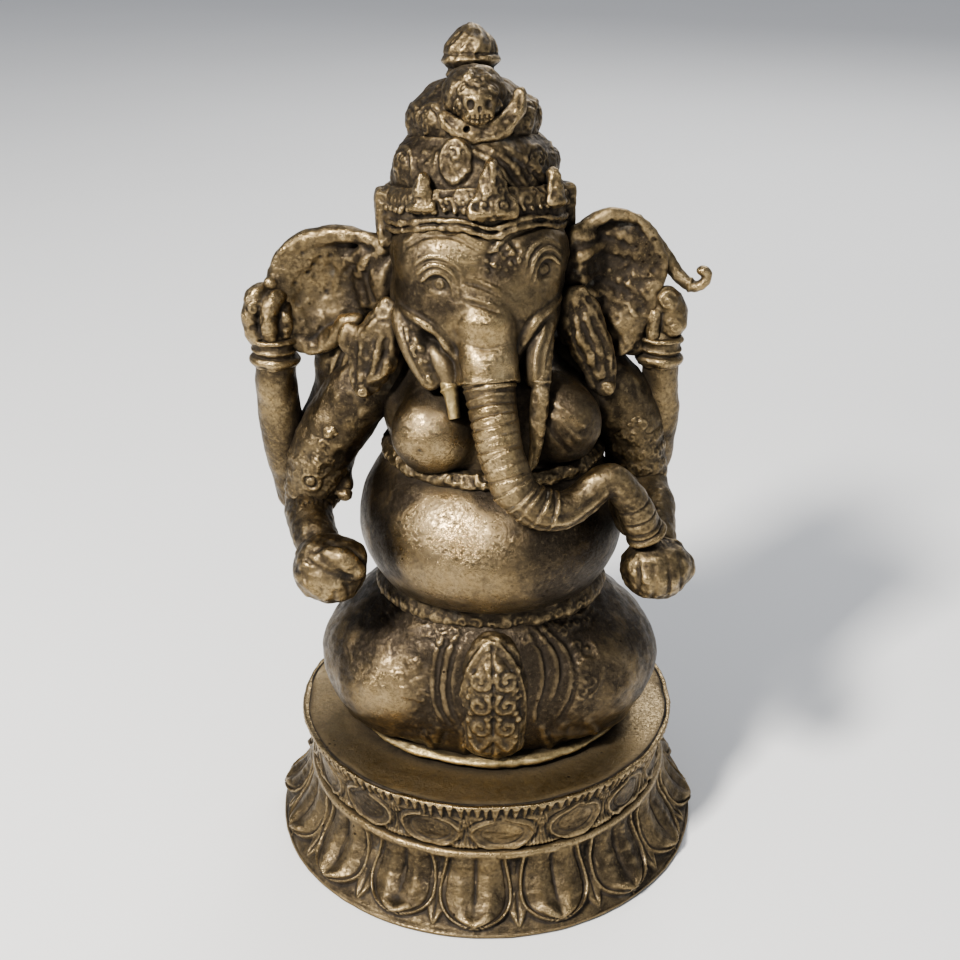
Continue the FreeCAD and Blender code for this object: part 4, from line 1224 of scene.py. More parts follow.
def sculpt_pendant_right():
    clay = Clay((-76, -42, 174), (-34, -10, 236), 0.48, 47)
    pendant(clay, (-46, -27, 230), (-58, -27, 188), 11.0, (-0.25, -0.95, 0.1))
    clay.add(ball((-64, -22, 213), (6, 4, 8)), 5)
    return clay.mesh()


def sculpt_pendant_left():
    clay = Clay((30, -42, 174), (70, -8, 240), 0.48, 48)
    pendant(clay, (41, -24, 234), (56, -25, 189), 10.5, (0.2, -0.97, 0.1))
    clay.add(ball((37, -20, 223), (5, 6, 14)), 4)
    return clay.mesh()


# ---- arms and hands ---------------------------------------------------------------------------------
def sculpt_upper_arm(side):
    if side == "right":
        clay = Clay((-106, -36, 112), (-24, 30, 216), 0.70, 51)
        clay.tube([(-38, -3, 196, 14.5), (-58, -6, 184, 15.5), (-69, -7, 171, 15.2), (-78, -8, 156, 14.6),
                   (-87, -10, 127, 12.2)], 3, 30)
        clay.add(ball((-50, -4, 192), (16, 15, 15)), 8)
        clay.add(ball((-71, -14, 133), (5, 5, 4)), 6)
    else:
        clay = Clay((24, -34, 122), (94, 26, 218), 0.70, 52)
        clay.tube([(37, -3, 197, 14.5), (57, -6, 186, 14.6), (64, -7, 176, 14.2), (70, -8, 163, 13.6),
                   (76, -10, 136, 12.0)], 3, 30)
        clay.add(ball((46, -4, 194), (15, 14, 14)), 8)
    clay.roughen((16, 1.2), (6, 0.6), (3, 0.28))
    return clay.mesh()


def sculpt_armlet(side):
    """Worked sleeve of scrolls with a pointed spray, and on the figure's right a rosette."""
    if side == "right":
        clay = Clay((-108, -34, 112), (-54, 16, 184), 0.5, 53)
        clay.tube([(-80, -8, 153, 16.2), (-83.5, -9, 142, 15.6), (-86.3, -9.8, 130, 14.4)], 0, 12)
        clay.tube([(-80, -14, 156, 9), (-76, -16, 164, 6.5), (-72.5, -17, 173, 3.2)], 3, 12)
        heart, way, aim = np.array((-86.5, -27, 139.6)), unit((-0.15, -0.98, 0.1)), (-86, -9.6, 134)
        spray = [(-85, -30, 148), (-80.5, -30, 155), (-77, -30, 162), (-74, -30, 168)]
        clay.add(ball((-70.5, -20, 130), (3.6, 3.6, 3.0)), 1.6)
        clay.dab([(-83, -30, 151), (-75.5, -30, 166)], 2.4, 2.0, way)
    else:
        clay = Clay((50, -34, 124), (96, 14, 188), 0.5, 54)
        clay.tube([(69.5, -8, 166, 15.0), (72, -8.8, 156, 14.9), (75.5, -9.8, 140, 13.8)], 0, 12)
        heart, way, aim = np.array((71, -27, 156.0)), unit((0.05, -0.99, 0.1)), (74.5, -9.4, 147)
        spray = [(67, -28, 166), (75, -28, 148), (72, -28, 172), (68, -28, 146)]
    across = unit(np.cross(way, (0, 0, 1)))
    up = np.cross(across, way)
    clay.roughen((6, 0.5), (3, 0.25))
    for k in range(26):
        angle = -2.6 + 0.2 * k
        out = (math.sin(angle), -math.cos(angle), 0.1)
        for rise in (-9, -1, 7, 15):
            lifted = (0, 0, rise + clay.random.uniform(-2, 2))
            spot = np.array(aim) + 17 * np.array((out[0], out[1], 0)) + lifted
            if np.linalg.norm(spot - heart) > 8 or side == "left":
                clay.scrollwork([spot], 2.4, 0.7, 1.3, out)
    if side == "right":
        clay.stroke(ring_points(heart, 4.6, count=26, across=across, up=up), 0.9, 2.2, way)
        clay.stroke(ring_points(heart, 2.9, count=20, across=across, up=up), 0.6, -0.9, way)
        clay.stroke(ring_points(heart, 1.6, count=12, across=across, up=up), 0.7, 1.2, way)
    for spot in spray:
        clay.scrollwork([spot, np.add(spot, (3.2, 0, -3.0)), np.add(spot, (-3.2, 0, -2.0))], 2.5, 0.85, 1.7,
                        way)
    clay.roughen((2.6, 0.22), (1.4, 0.1))
    return clay.mesh()


def sculpt_forearm(side):
    if side == "right":
        clay = Clay((-104, -60, 98), (-64, 6, 138), 0.58, 55)
        clay.tube([(-90, -8, 122, 12.0), (-88.5, -20, 120.5, 11.7), (-85.5, -32, 118, 11.2),
                   (-80, -46, 113.5, 10.4)],
                  0, 24)
        clay.collar((-88.9, -14, 121), (0.1, -1, -0.1), 12, 0.8, -0.8)
        for k in range(7):
            x = -95 + 2.3 * k
            clay.stroke([(x, -16, 134), (x + 1.6, -30, 131)], 0.5, -0.45, (0, -0.3, 1))
    else:
        clay = Clay((58, -62, 108), (96, 4, 156), 0.58, 56)
        clay.tube([(77.5, -9, 134, 11.8), (79, -20, 131.5, 11), (81, -31, 129, 10.4),
                   (80.5, -48, 121, 9.8)], 0, 24)
        clay.tube([(65, -44, 150, 4), (66, -48, 140, 6.5), (69, -50, 130, 6)], 4, 12)
        for k in range(3):
            clay.stroke(smooth_path([(62 + 3 * k, -58, 150), (62.5 + 3.4 * k, -60, 140),
                                     (65 + 3 * k, -60, 128)], 12),
                        0.8, 1.0, (-0.2, -1, 0), taper=0.6)
    clay.roughen((8, 0.6), (3.4, 0.35), (1.8, 0.14))
    return clay.mesh()


def sculpt_rear_arm(side):
    """Upright forearm, the elbow, and the upper arm that goes back to the shoulder."""
    if side == "right":
        clay = Clay((-118, -30, 104), (-26, 36, 214), 0.70, 57)
        clay.tube([(-96, 4, 121, 11.8), (-98.5, 1, 136, 11.4), (-100.5, -2, 152, 10.8),
                   (-101.8, -5.5, 176, 10.8),
                   (-102, -8, 206, 9.2)], 0, 34)
        clay.tube([(-38, 16, 187, 13), (-58, 18, 173, 13), (-80, 14, 145, 12), (-95, 6, 123, 11.2)], 3, 30)
        # shoulder drape that hangs behind the ear and hides the upper arm's root
        clay.tube([(-58, 0, 200, 12), (-70, 2, 194, 11.5), (-75, 3, 178, 9), (-84, 4, 158, 8),
                   (-93, 3, 136, 8)], 4, 24)
        for k in range(5):
            clay.stroke(smooth_path([(-60 - 3.4 * k, -18, 207 - k), (-66 - 2.8 * k, -18, 192),
                                     (-70 - 2.4 * k, -18, 176)],
                                    14), 1.3, 1.2 * (-1) ** k, (-0.3, -0.95, 0.1), taper=0.5)
    else:
        clay = Clay((26, -20, 114), (98, 36, 212), 0.70, 58)
        clay.tube([(78, 4, 130, 10.8), (81, 1, 142, 10.8), (83.5, -1.5, 156, 10.4), (84.5, -4, 178, 9.4),
                   (83, -6, 206, 8.6)], 0, 34)
        clay.tube([(36, 16, 189, 13), (52, 18, 176, 13), (68, 14, 153, 11.5), (78, 6, 131, 10.6)], 3, 30)
    clay.roughen((14, 0.8), (5, 0.36), (2.4, 0.14))
    return clay.mesh()


def sculpt_bracelet(side):
    """Bracelet with one thick roll, a thinner one and a short cuff above."""
    x, y, wrist = (-102, -7.8, 9.2) if side == "right" else (83, -6, 8.6)
    clay = Clay((x - 16, y - 16, 190), (x + 16, y + 16, 213), 0.4, 59)
    clay.add((lambda px, py, pz: np.maximum(np.sqrt((px - x) ** 2 + (py - y) ** 2) - wrist - 1.0
                                            - 0.10 * np.maximum(pz - 202, 0), np.abs(pz - 202) - 7.2),
              np.array((x - 12, y - 12, 193.0)), np.array((x + 12, y + 12, 211.0))))
    for height, width, size in ((197.4, 2.0, 2.7), (202.6, 1.1, 1.1), (207.6, 1.2, 1.4)):
        clay.collar((x, y, height), (0.04, 0.06, 1), wrist + 1.0, width, size)
    clay.collar((x, y, 200.2), (0.04, 0.06, 1), wrist + 1.0, 0.5, -0.8)
    clay.roughen((6, 0.6), (2.6, 0.35), (1.4, 0.14))
    return clay.mesh()


def sculpt_fist(side):
    """Clenched lower hand: a worn rounded block with shallow finger grooves, knuckles and a thumb."""
    if side == "right":
        clay = Clay((-98, -78, 88), (-54, -36, 134), 0.52, 61)
        clay.add(ball((-75.5, -57, 109.5), (17.6, 15.5, 17)))
        clay.add(slab((-75.5, -58, 110), (12, 11.5, 11), 8, turn_about("y", 12)), 6)
        clay.add(ball((-66, -60, 117), (9, 9, 8.5)), 4)
        clay.tube([(-74, -66, 122, 3.6), (-66, -68, 120, 4.2), (-61, -66, 113, 3.8)], 2, 14)
        clay.roughen((9, 0.8), (4.5, 0.55), (2.2, 0.3))
        for k, x in enumerate((-86, -80, -74, -68)):
            clay.stroke(smooth_path([(x, -70, 114 - k), (x + 2.5, -74, 106), (x + 2, -70, 98)], 14), 1.1,
                        -0.65,
                        taper=0.7)
        clay.dab([(-79, -74, 112), (-71, -73, 108), (-84, -72, 107), (-76, -73, 101), (-70, -72, 100)], 3.0,
                 1.2)
        clay.stroke(smooth_path([(-62, -66, 122), (-60, -62, 112), (-63, -62, 100)], 14), 1.3, -1.2,
                    (1, -0.5, 0))
        clay.stroke(smooth_path([(-84, -66, 120), (-76, -70, 116), (-66, -70, 112)], 14), 1.2, -1.1,
                    taper=0.5)
    else:
        clay = Clay((60, -80, 92), (102, -44, 132), 0.52, 62)
        clay.add(ball((80, -61, 112), (17, 14.5, 15)))
        clay.add(slab((79, -61, 112), (11.5, 10.5, 10.5), 8), 5)
        clay.add(ball((94.5, -60, 111), (5.0, 6, 6)), 2)
        clay.roughen((9, 0.8), (4.5, 0.5), (2.2, 0.3))
        for x in (70.5, 77.5, 84.5, 90.5):
            clay.stroke(smooth_path([(x, -72, 120), (x + 0.6, -78, 111), (x, -72, 101)], 14), 1.0, -0.8,
                        taper=0.5)
        clay.dab([(74, -76, 113), (81, -77, 112), (87.5, -76, 111)], 2.6, 1.0)
        clay.collar((80.5, -52, 119), (-0.05, -0.75, -0.5), 11, 1.2, 0.8)
    return clay.mesh()


def sculpt_rear_hand(side):
    """Raised fist beside the ear."""
    if side == "right":
        clay = Clay((-117, -26, 202), (-86, 6, 240), 0.44, 63)
        clay.add(ball((-103.0, -7, 216), (9.8, 8.5, 11)))
        clay.tube([(-109, -12, 209, 3.8), (-111, -13.5, 219, 4.0), (-109, -13, 229, 3.9),
                   (-105, -9, 232, 3.4)], 2.0, 16)
        clay.tube([(-102, -15, 210, 3.4), (-102.5, -16.5, 220, 3.8), (-100.5, -14, 228, 3.6),
                   (-97, -9, 229, 3.2)],
                  2.0, 16)
        clay.tube([(-96, -12, 211, 3.2), (-95.5, -12.5, 220, 3.2), (-95.5, -8, 226, 3.0)], 1.8, 12)
        clay.stroke(spiral((-108.5, -18, 226), 3.4, 1.1, 30, 1, count=18), 0.8, 1.0)
        clay.stroke([(-106, -18, 212), (-105, -18, 222)], 0.8, -0.8)
    else:
        clay = Clay((72, -26, 202), (101, 8, 244), 0.44, 64)
        clay.add(ball((85.5, -6, 219), (10, 8.5, 13)))
        clay.add(ball((84.5, -9.6, 228), (6.6, 5.6, 6.0)), 3)
        clay.add(ball((88, -9.6, 216), (5.6, 5.6, 6.5)), 3)
        clay.tube([(79, -12, 222, 3.0), (78.5, -12, 213, 3.0), (80, -10, 206, 2.8)], 1.6, 12)
        clay.stroke(spiral((84.5, -18, 228.5), 4.6, 1.1, 40, 1, count=26), 0.8, 1.0)
        clay.stroke(spiral((88.4, -18, 216), 4.0, 1.1, 160, -1, count=24), 0.8, 0.8)
        clay.stroke([(82.5, -18, 222), (82, -18, 208)], 0.8, -0.9)
    clay.roughen((5, 0.6), (2.6, 0.35), (1.4, 0.14))
    return clay.mesh()


def sculpt_goad():
    """Short tapering goad ending in an upturned hook with a knob."""
    clay = Clay((62, -14, 224), (110, 14, 268), 0.40, 65)
    clay.tube([(70, 6.5, 260, 4.2), (76, 4.0, 255, 4.4), (82, 1.5, 248, 4.0), (87.5, -0.5, 241, 3.5),
               (93, -3.5, 235, 3.2), (98.5, -6, 233, 2.9), (102.3, -6.5, 235.5, 2.7),
               (103.2, -6, 239.2, 2.5)], 0, 44)
    clay.add(ball((101.6, -6, 240.4), (3.1, 3.1, 2.7)), 0.8)
    clay.collar((96, -5, 233.6), (0.9, -0.4, -0.2), 3.0, 0.8, 0.7)
    clay.roughen((6, 0.6), (2.6, 0.3), (1.4, 0.12))
    return clay.mesh()


# ---- crown, sculpted about the head's own centre -----------------------------------------------------
def round_crown(radius, degrees, height):
    """Point on a cylinder about the head's upright axis; 0 degrees is the front."""
    a = math.radians(degrees)
    return np.array((radius * math.sin(a), -radius * math.cos(a), height))


def outward(degrees, rise=0.15):
    a = math.radians(degrees)
    return np.array((math.sin(a), -math.cos(a), rise))


def crown_mesh(clay):
    points, quads = clay.mesh()
    return from_head(points), quads


def sculpt_band():
    """Diadem: a double roll that dips over the trunk and temples, beads, and a leafy crest above."""
    clay = Clay((-50, -52, 20), (50, 50, 54), 0.48, 71)
    clay.add(lathe([(30, 41.0), (33, 42.2), (37, 42.6), (41, 42.4), (45, 42.6), (49, 40.0)]))
    for side in (-1, 1):
        clay.add(slab((side * 41.6, -3, 35.5), (3.6, 8.0, 12.5), 2.0), 2.5)
        clay.stroke([(side * 46, -9, 26), (side * 46, -9, 44)], 1.0, 1.0, (side, 0, 0))
        clay.scrollwork([(side * 46, -3, 30), (side * 46, -2, 38), (side * 44, -10, 40)], 3.2, 0.9, 1.5,
                        (side, -0.2, 0))
    circle = np.linspace(-180, 180, 170)
    dip = 4.2 * np.exp(-((circle - 4) / 13) ** 2) + 2.8 * np.exp(-((np.abs(circle) - 62) / 20) ** 2)
    for base, radius, size in ((33.2, 42.2, 1.3), (36.7, 42.9, 1.1)):
        line = [(*round_crown(radius, c, base - d), size) for c, d in zip(circle, dip)]
        clay.tube(line, 0.8, 170)
    for k in range(60):
        degrees = 360 * k / 60
        drop = 0.9 * math.exp(-(((degrees + 180) % 360 - 180 - 4) / 13) ** 2)
        clay.add(ball(round_crown(43.0, degrees, 40.2 - 2 * drop), (1.5, 1.5, 1.5)), 0.5)
    for k in range(30):
        degrees = 360 * k / 30 + clay.random.uniform(-3, 3)
        out = outward(degrees, 0.3)
        clay.scrollwork([round_crown(44, degrees, 44.4)], 3.4, 1.0, 2.0, out)
        clay.scrollwork([round_crown(43, degrees + 6, 47.6)], 2.4, 0.9, 1.6, out)
    clay.roughen((7, 0.8), (3.4, 0.6), (1.7, 0.25))
    clay.cut((lambda x, y, z: np.sqrt(x ** 2 + y ** 2) - 34.0 + 0 * z, np.array((-37, -37, 19.0)),
              np.array((37, 37, 54.0))))
    return crown_mesh(clay)


def lobed_tier(clay, profile, lobes, lobe_radius, ring_radius, height):
    """Swelling tier with drooping rounded lobes at the given angles, each outlined and curled."""
    clay.add(lathe(profile))
    for degrees in lobes:
        grown = lobe_radius * clay.random.uniform(0.92, 1.06)
        spot = round_crown(ring_radius, degrees, height + clay.random.uniform(-1, 1))
        clay.add(ball(spot, (grown, grown, grown * 0.98)), 2.6)
        out = unit(outward(degrees, 0.2))
        across = unit(np.cross(out, (0, 0, 1)))
        up = np.cross(across, out)
        face = round_crown(ring_radius + lobe_radius, degrees, height)
        turn = np.linspace(-0.6, 3.7, 20)[:, None]
        rim = face + grown * 0.74 * (np.cos(turn) * across + np.sin(turn) * up)
        clay.stroke(rim, 0.9, 0.9, out)
        clay.stroke(rim * 0.94 + face * 0.06 - up * 1.6, 0.8, -0.7, out)
        clay.scrollwork([face + up * 1.0, face - up * 3.2 + across * 2, face + up * 4 - across * 3],
                        grown * 0.30, 0.8, 1.0, out)


def sculpt_lower_crown():
    clay = Clay((-43, -45, 42), (43, 43, 76), 0.48, 72)
    lobed_tier(clay, [(44, 36.0), (48, 37.4), (53, 38.0), (60, 36.8), (66, 33.8), (71, 30.0)],
               [-66, 44, 84, 122, 160, 200, 240], 11.2, 28.0, 59)
    clay.add(ball(round_crown(26, 12, 61), (12, 12, 11)), 5)
    heart, way = round_crown(38, -19, 61.5), unit(outward(-19, 0.25))
    across = unit(np.cross(way, (0, 0, 1)))
    up = np.cross(across, way)
    clay.add(ball(round_crown(33.9, -19, 61.5), (9.0, 4.4, 10.2), turn_about("z", -19)), 2.4)
    clay.roughen((9, 0.9), (4, 0.5), (2.2, 0.25))
    for size, height in ((6.6, 0.6), (8.2, -0.6)):
        ring = ring_points(heart, size, 1.34, 26, across, up) + clay.random.normal(0, 0.25, (26, 3))
        clay.stroke(ring, 0.75, height, way)
    clay.stroke(spiral(heart + up * 2.6, 3.2, 1.0, 60, 1, across, up), 0.65, 1.0, way)
    clay.stroke(smooth_path([heart + up * 1.2, heart - up * 3 + across * 1.5, heart - up * 6.0 - across], 10),
                0.7, 0.9, way)
    # large leaf folds falling to the figure's left
    for first, last, low in ((8, 34, 47), (22, 52, 49), (-4, 20, 50)):
        line = [round_crown(40, first + (last - first) * t, 66 - (66 - low) * t ** 1.3)
                for t in np.linspace(0, 1, 16)]
        clay.stroke(np.array(line), 1.6, 1.8, outward((first + last) / 2, 0.3), taper=0.6)
        clay.stroke(np.array(line) - (0, 0, 3.4), 1.3, -1.2, outward((first + last) / 2, 0.3), taper=0.6)
    for degrees in range(-170, 190, 15):
        spot = round_crown(40, degrees + clay.random.uniform(-4, 4), clay.random.uniform(50, 66))
        if np.linalg.norm(spot - heart) > 11:
            clay.scrollwork([spot], 3.0, 0.7, 0.8, outward(degrees, 0.3))
    clay.roughen((2.2, 0.2), (1.2, 0.1))
    clay.keep_side((0, 0, 45.5), (0, 0, -1))
    return crown_mesh(clay)


def sculpt_upper_crown():
    clay = Clay((-35, -37, 66), (35, 35, 100), 0.46, 73)
    lobed_tier(clay, [(69, 28.5), (73, 29.8), (78, 30.0), (83, 28.0), (88, 24.0), (93, 18.5), (96, 12.0)],
               [-72, -46, 52, 80, 118, 156, 200, 244], 8.6, 22.6, 79)
    for degrees in range(-170, 190, 18):
        clay.scrollwork([round_crown(31, degrees + clay.random.uniform(-4, 4), clay.random.uniform(74, 88))],
                        2.6, 0.7, 0.9, outward(degrees, 0.4))
    for degrees in range(-160, 200, 24):
        clay.stroke(smooth_path([round_crown(13, degrees, 96), round_crown(20, degrees + 6, 93),
                                 round_crown(27, degrees + 10, 86)], 12), 1.2, 1.0, outward(degrees, 1.0),
                                 taper=0.5)
    clay.roughen((8, 0.8), (4, 0.5), (2.2, 0.3), (1.2, 0.12))
    clay.keep_side((0, 0, 69.2), (0, 0, -1))
    return crown_mesh(clay)


def sculpt_finial():
    """Closed bud on a double ring."""
    clay = Clay((-17, -17, 89), (17, 17, 121), 0.38, 74)
    clay.add(lathe([(91, 10.4), (94, 10.2), (96.6, 11.0), (98.6, 10.8), (100.2, 11.0), (102.2, 13.2),
                    (104.2, 13.4),
                    (106.2, 12.6), (109, 12.0), (112, 10.3), (115, 7.4), (117.4, 4.2), (119.2, 0.8)]))
    for height, width, lift in ((97.0, 0.9, 0.6), (99.6, 0.7, -0.7), (103.2, 0.9, 0.5), (105.8, 0.6, -0.6)):
        clay.collar((0, 0, height), (0, 0, 1), 12.6, width, lift)
    for k in range(12):
        t = np.linspace(0, 1, 16)
        line = [round_crown(13.4 - 11.5 * s ** 1.3, 360 * k / 12 + 46 * s, 106.5 + 11 * s) for s in t]
        clay.stroke(np.array(line), 0.8, 0.55, np.array([outward(360 * k / 12 + 46 * s, 0.6) for s in t]))
    for k in range(20):
        clay.dab([round_crown(13, 360 * k / 20, 94.0)], 1.2, 0.7, outward(360 * k / 20))
    clay.roughen((5, 0.45), (2.4, 0.35), (1.3, 0.16))
    return crown_mesh(clay)


def leaf_plate(clay, half, tall, foot, degrees, radius, thick=2.6):
    """Pointed leaf standing on the diadem, with a spine, curled side lobes and beads at its foot."""
    way = unit(outward(degrees, 0.12))
    across = unit(np.cross(way, (0, 0, 1)))
    up = np.array((0, 0, 1.0))
    root = round_crown(radius, degrees, foot)
    rows = 11
    for k in range(rows):
        share = k / (rows - 1)
        wide = half * (1.0 - 0.25 * share) * (1 - share ** 1.6) * (1 + 0.12 * math.sin(9 * share)) + 0.5
        spot = root + up * (tall - 2) * share - way * 1.5 * share ** 2
        clay.tube([(*(spot - across * wide), thick * 0.7), (*spot, thick),
                   (*(spot + across * wide), thick * 0.7)], 1.6, 5)
    clay.roughen((5, 0.7), (2.6, 0.45))
    clay.stroke(smooth_path([root + up * 6, root + up * tall * 0.6, root + up * (tall - 1)], 12), 1.1, 1.6,
                way)
    for side in (-1, 1):
        for share, size in ((0.16, 0.40), (0.44, 0.28)):
            spot = root + up * tall * share + side * across * half * (0.50 - 0.34 * share)
            clay.stroke(spiral(spot, half * size, 1.1, 90, side, across, up, 16), 0.9, 1.9, way)
        clay.dab([root + side * across * half * (0.2 + 0.25 * k) + up * 0.6 for k in range(4)], 1.4, 1.7, way)
    clay.roughen((2.2, 0.25), (1.2, 0.1))


def sculpt_front_antefix():
    clay = Clay((-14, -56, 33), (22, -34, 68), 0.4, 75)
    leaf_plate(clay, 8.8, 23.0, 38.5, 4, 44.0)
    return crown_mesh(clay)


def sculpt_side_antefix(degrees, seed):
    spot = round_crown(43.5, degrees, 49)
    clay = Clay(spot - 13, spot + 13, 0.4, seed)
    leaf_plate(clay, 5.0, 15.5, 41.0, degrees, 43.4, 1.9)
    return crown_mesh(clay)


def sculpt_skull():
    """Domed front piece with curls above a small stylised skull: sockets, nose and a row of teeth."""
    clay = Clay((-19, -46, 70), (17, -6, 106), 0.38, 77)
    clay.add(ball((-1.5, -22.5, 88.5), (14.6, 13.5, 13.0)))
    clay.add(ball((-1.0, -31.5, 86.0), (8.6, 8.4, 8.0)), 2.5)
    clay.add(ball((-1.0, -33.5, 80.6), (6.8, 6.4, 5.0)), 2.0)
    clay.roughen((5, 0.6), (2.6, 0.35))
    for side in (-1, 1):
        clay.cut(ball((-1.0 + side * 4.3, -40.5, 85.0), (2.1, 3.0, 2.9)), 0.6)
    clay.cut(ball((-1.0, -41.5, 82.8), (1.1, 2.4, 2.0)), 0.5)
    clay.stroke([(-5.6, -41, 87.6), (-1.0, -42, 88.4), (3.6, -41, 87.6)], 0.9, 0.9)
    clay.stroke([(-6.0, -40, 78.8), (-1.0, -41, 78.2), (4.0, -40, 78.8)], 0.6, -0.9)
    for k in range(5):
        clay.stroke([(-5.2 + 2.1 * k, -40, 80.2), (-5.2 + 2.1 * k, -40, 77.0)], 0.45, -0.8)
    for x, z, size, hand in ((-7.5, 92, 3.0, 1), (-1, 95.5, 3.2, -1), (5.5, 92, 3.0, -1), (-11, 86, 2.6, 1),
                             (9, 86, 2.6, -1), (-5, 99, 2.4, 1), (3, 99, 2.4, -1)):
        clay.stroke(spiral((x, -36, z), size, 1.2, 90, hand, count=16), 0.75, 1.3, (0.03 * x, -0.8, 0.6))
    clay.roughen((2.2, 0.2), (1.2, 0.1))
    return crown_mesh(clay)


def sculpt_crescent():
    """Upturned crescent with a raised outer edge and a small drilled hole near its right end."""
    clay = Clay((-23, -47, 62), (25, -24, 98), 0.38, 78)
    centre = np.array((0.5, -33.0, 86.5))
    roll = turn_about("y", -14)

    def point(radius, degrees, out=0.0):
        a = math.radians(degrees)
        bow = 5.0 * (1 - math.cos(a)) ** 1.2
        return centre + roll @ np.array((1.12 * radius * math.sin(a), bow - out, -radius * math.cos(a)))

    for degrees in np.arange(-84, 85, 3.0):
        wide = 0.3 + 2.6 * math.cos(math.radians(degrees)) ** 0.8
        clay.tube([(*point(16.2 - wide * 2, degrees), 1.7), (*point(16.4, degrees), 1.8)], 0.8, 3)
    edge = np.array([point(16.6, degrees, 3) for degrees in np.arange(-84, 85, 4.0)])
    clay.stroke(edge, 0.8, 0.9)
    clay.cut(ball(point(13.2, -40, 2.0), (1.5, 3.6, 1.5)), 0.4)
    clay.roughen((5, 0.8), (2.2, 0.4), (1.2, 0.12))
    return crown_mesh(clay)


# ---- what each sculpted piece is, and the CAD nodes it stands for -------------------------------------
# name: (sculptor, replaced nodes, finish)
pieces = {
    "lotus_lower_petals": (sculpt_lower_tier, ["lotus_base_lower"], "lotus"),
    "lotus_upper_petals": (sculpt_upper_tier, ["lotus_base_upper"], "lotus"),
    "seat_disc": (sculpt_seat, ["seat_plate"], "seat"),
    "hem_rim": (sculpt_sole, ["base_sole"], "hem"),
    "crossed_legs": (sculpt_lap, ["lap_casting"], "belly"),
    "sash_panel": (sculpt_sash, ["front_sash"], "worked"),
    "girdle_relief": (sculpt_girdle, ["waist_girdle"], "dark_patina_and_shade"),
    "torso_belly": (sculpt_torso, ["torso_casting"], "belly"),
    "chest_beads": (sculpt_chest_band, ["chest_band"], "worked"),
    "elephant_head": (sculpt_head, ["head_casting"], "skin"),
    "ringed_trunk": (sculpt_trunk, ["trunk"], "worked"),
    "tusk_whole": (sculpt_tusk_left, ["tusk_left"], "limb"),
    "tusk_stub": (sculpt_tusk_right, ["tusk_broken_right"], "hem"),
    "ear_dish_right": (sculpt_ear_right, ["ear_right"], "limb"),
    # the left ear and its pendant take a darker finish than the right ones, as painted shade
    "ear_dish_left": (sculpt_ear_left, ["ear_left"], "dark_patina_and_shade"),
    "ear_leaf_right": (sculpt_pendant_right, ["ear_pendant_right"], "worked"),
    "ear_leaf_left": (sculpt_pendant_left, ["ear_pendant_left"], "dark_patina_and_shade"),
    "goad_shaft": (sculpt_goad, ["goad"], "limb"),
    "diadem": (sculpt_band, ["crown_band"], "crown"),
    "crown_tier_low": (sculpt_lower_crown, ["crown_lower_tier"], "crown"),
    "crown_tier_high": (sculpt_upper_crown, ["crown_upper_tier"], "crown"),
    "crown_bud": (sculpt_finial, ["crown_finial"], "crown"),
    "antefix_front": (sculpt_front_antefix, ["front_antefix"], "worked"),
    "antefix_right": (lambda: sculpt_side_antefix(-38, 76), ["side_antefixes"], "worked"),
    "antefix_left": (lambda: sculpt_side_antefix(50, 79), ["side_antefixes"], "crown"),
    "skull_relief": (sculpt_skull, ["skull_ornament"], "worked"),
    "crescent_relief": (sculpt_crescent, ["crescent_ornament"], "worked"),
}
for side in ("right", "left"):
    for label, sculptor, node, look in (
            ("upper_arm", sculpt_upper_arm, "front_upper_arm", "limb"),
            ("armlet_relief", sculpt_armlet, "armlet", "worked"),
            ("forearm", sculpt_forearm, "front_forearm", "limb"),
            ("raised_arm", sculpt_rear_arm, "rear_arm", "worked"),
            ("bracelet_rolled", sculpt_bracelet, "bracelet", "worked"),
            ("lower_fist", sculpt_fist, "front_hand", "worked"),
            ("raised_fist", sculpt_rear_hand, "rear_hand", "limb")):
        sculpt_it = (lambda make=sculptor, which=side: make(which))
        pieces[f"{label}_{side}"] = (sculpt_it, [f"{node}_{side}"], look)

pedestal_nodes = set(frame["record"]["behaviour"]["bodies"]["pedestal"])
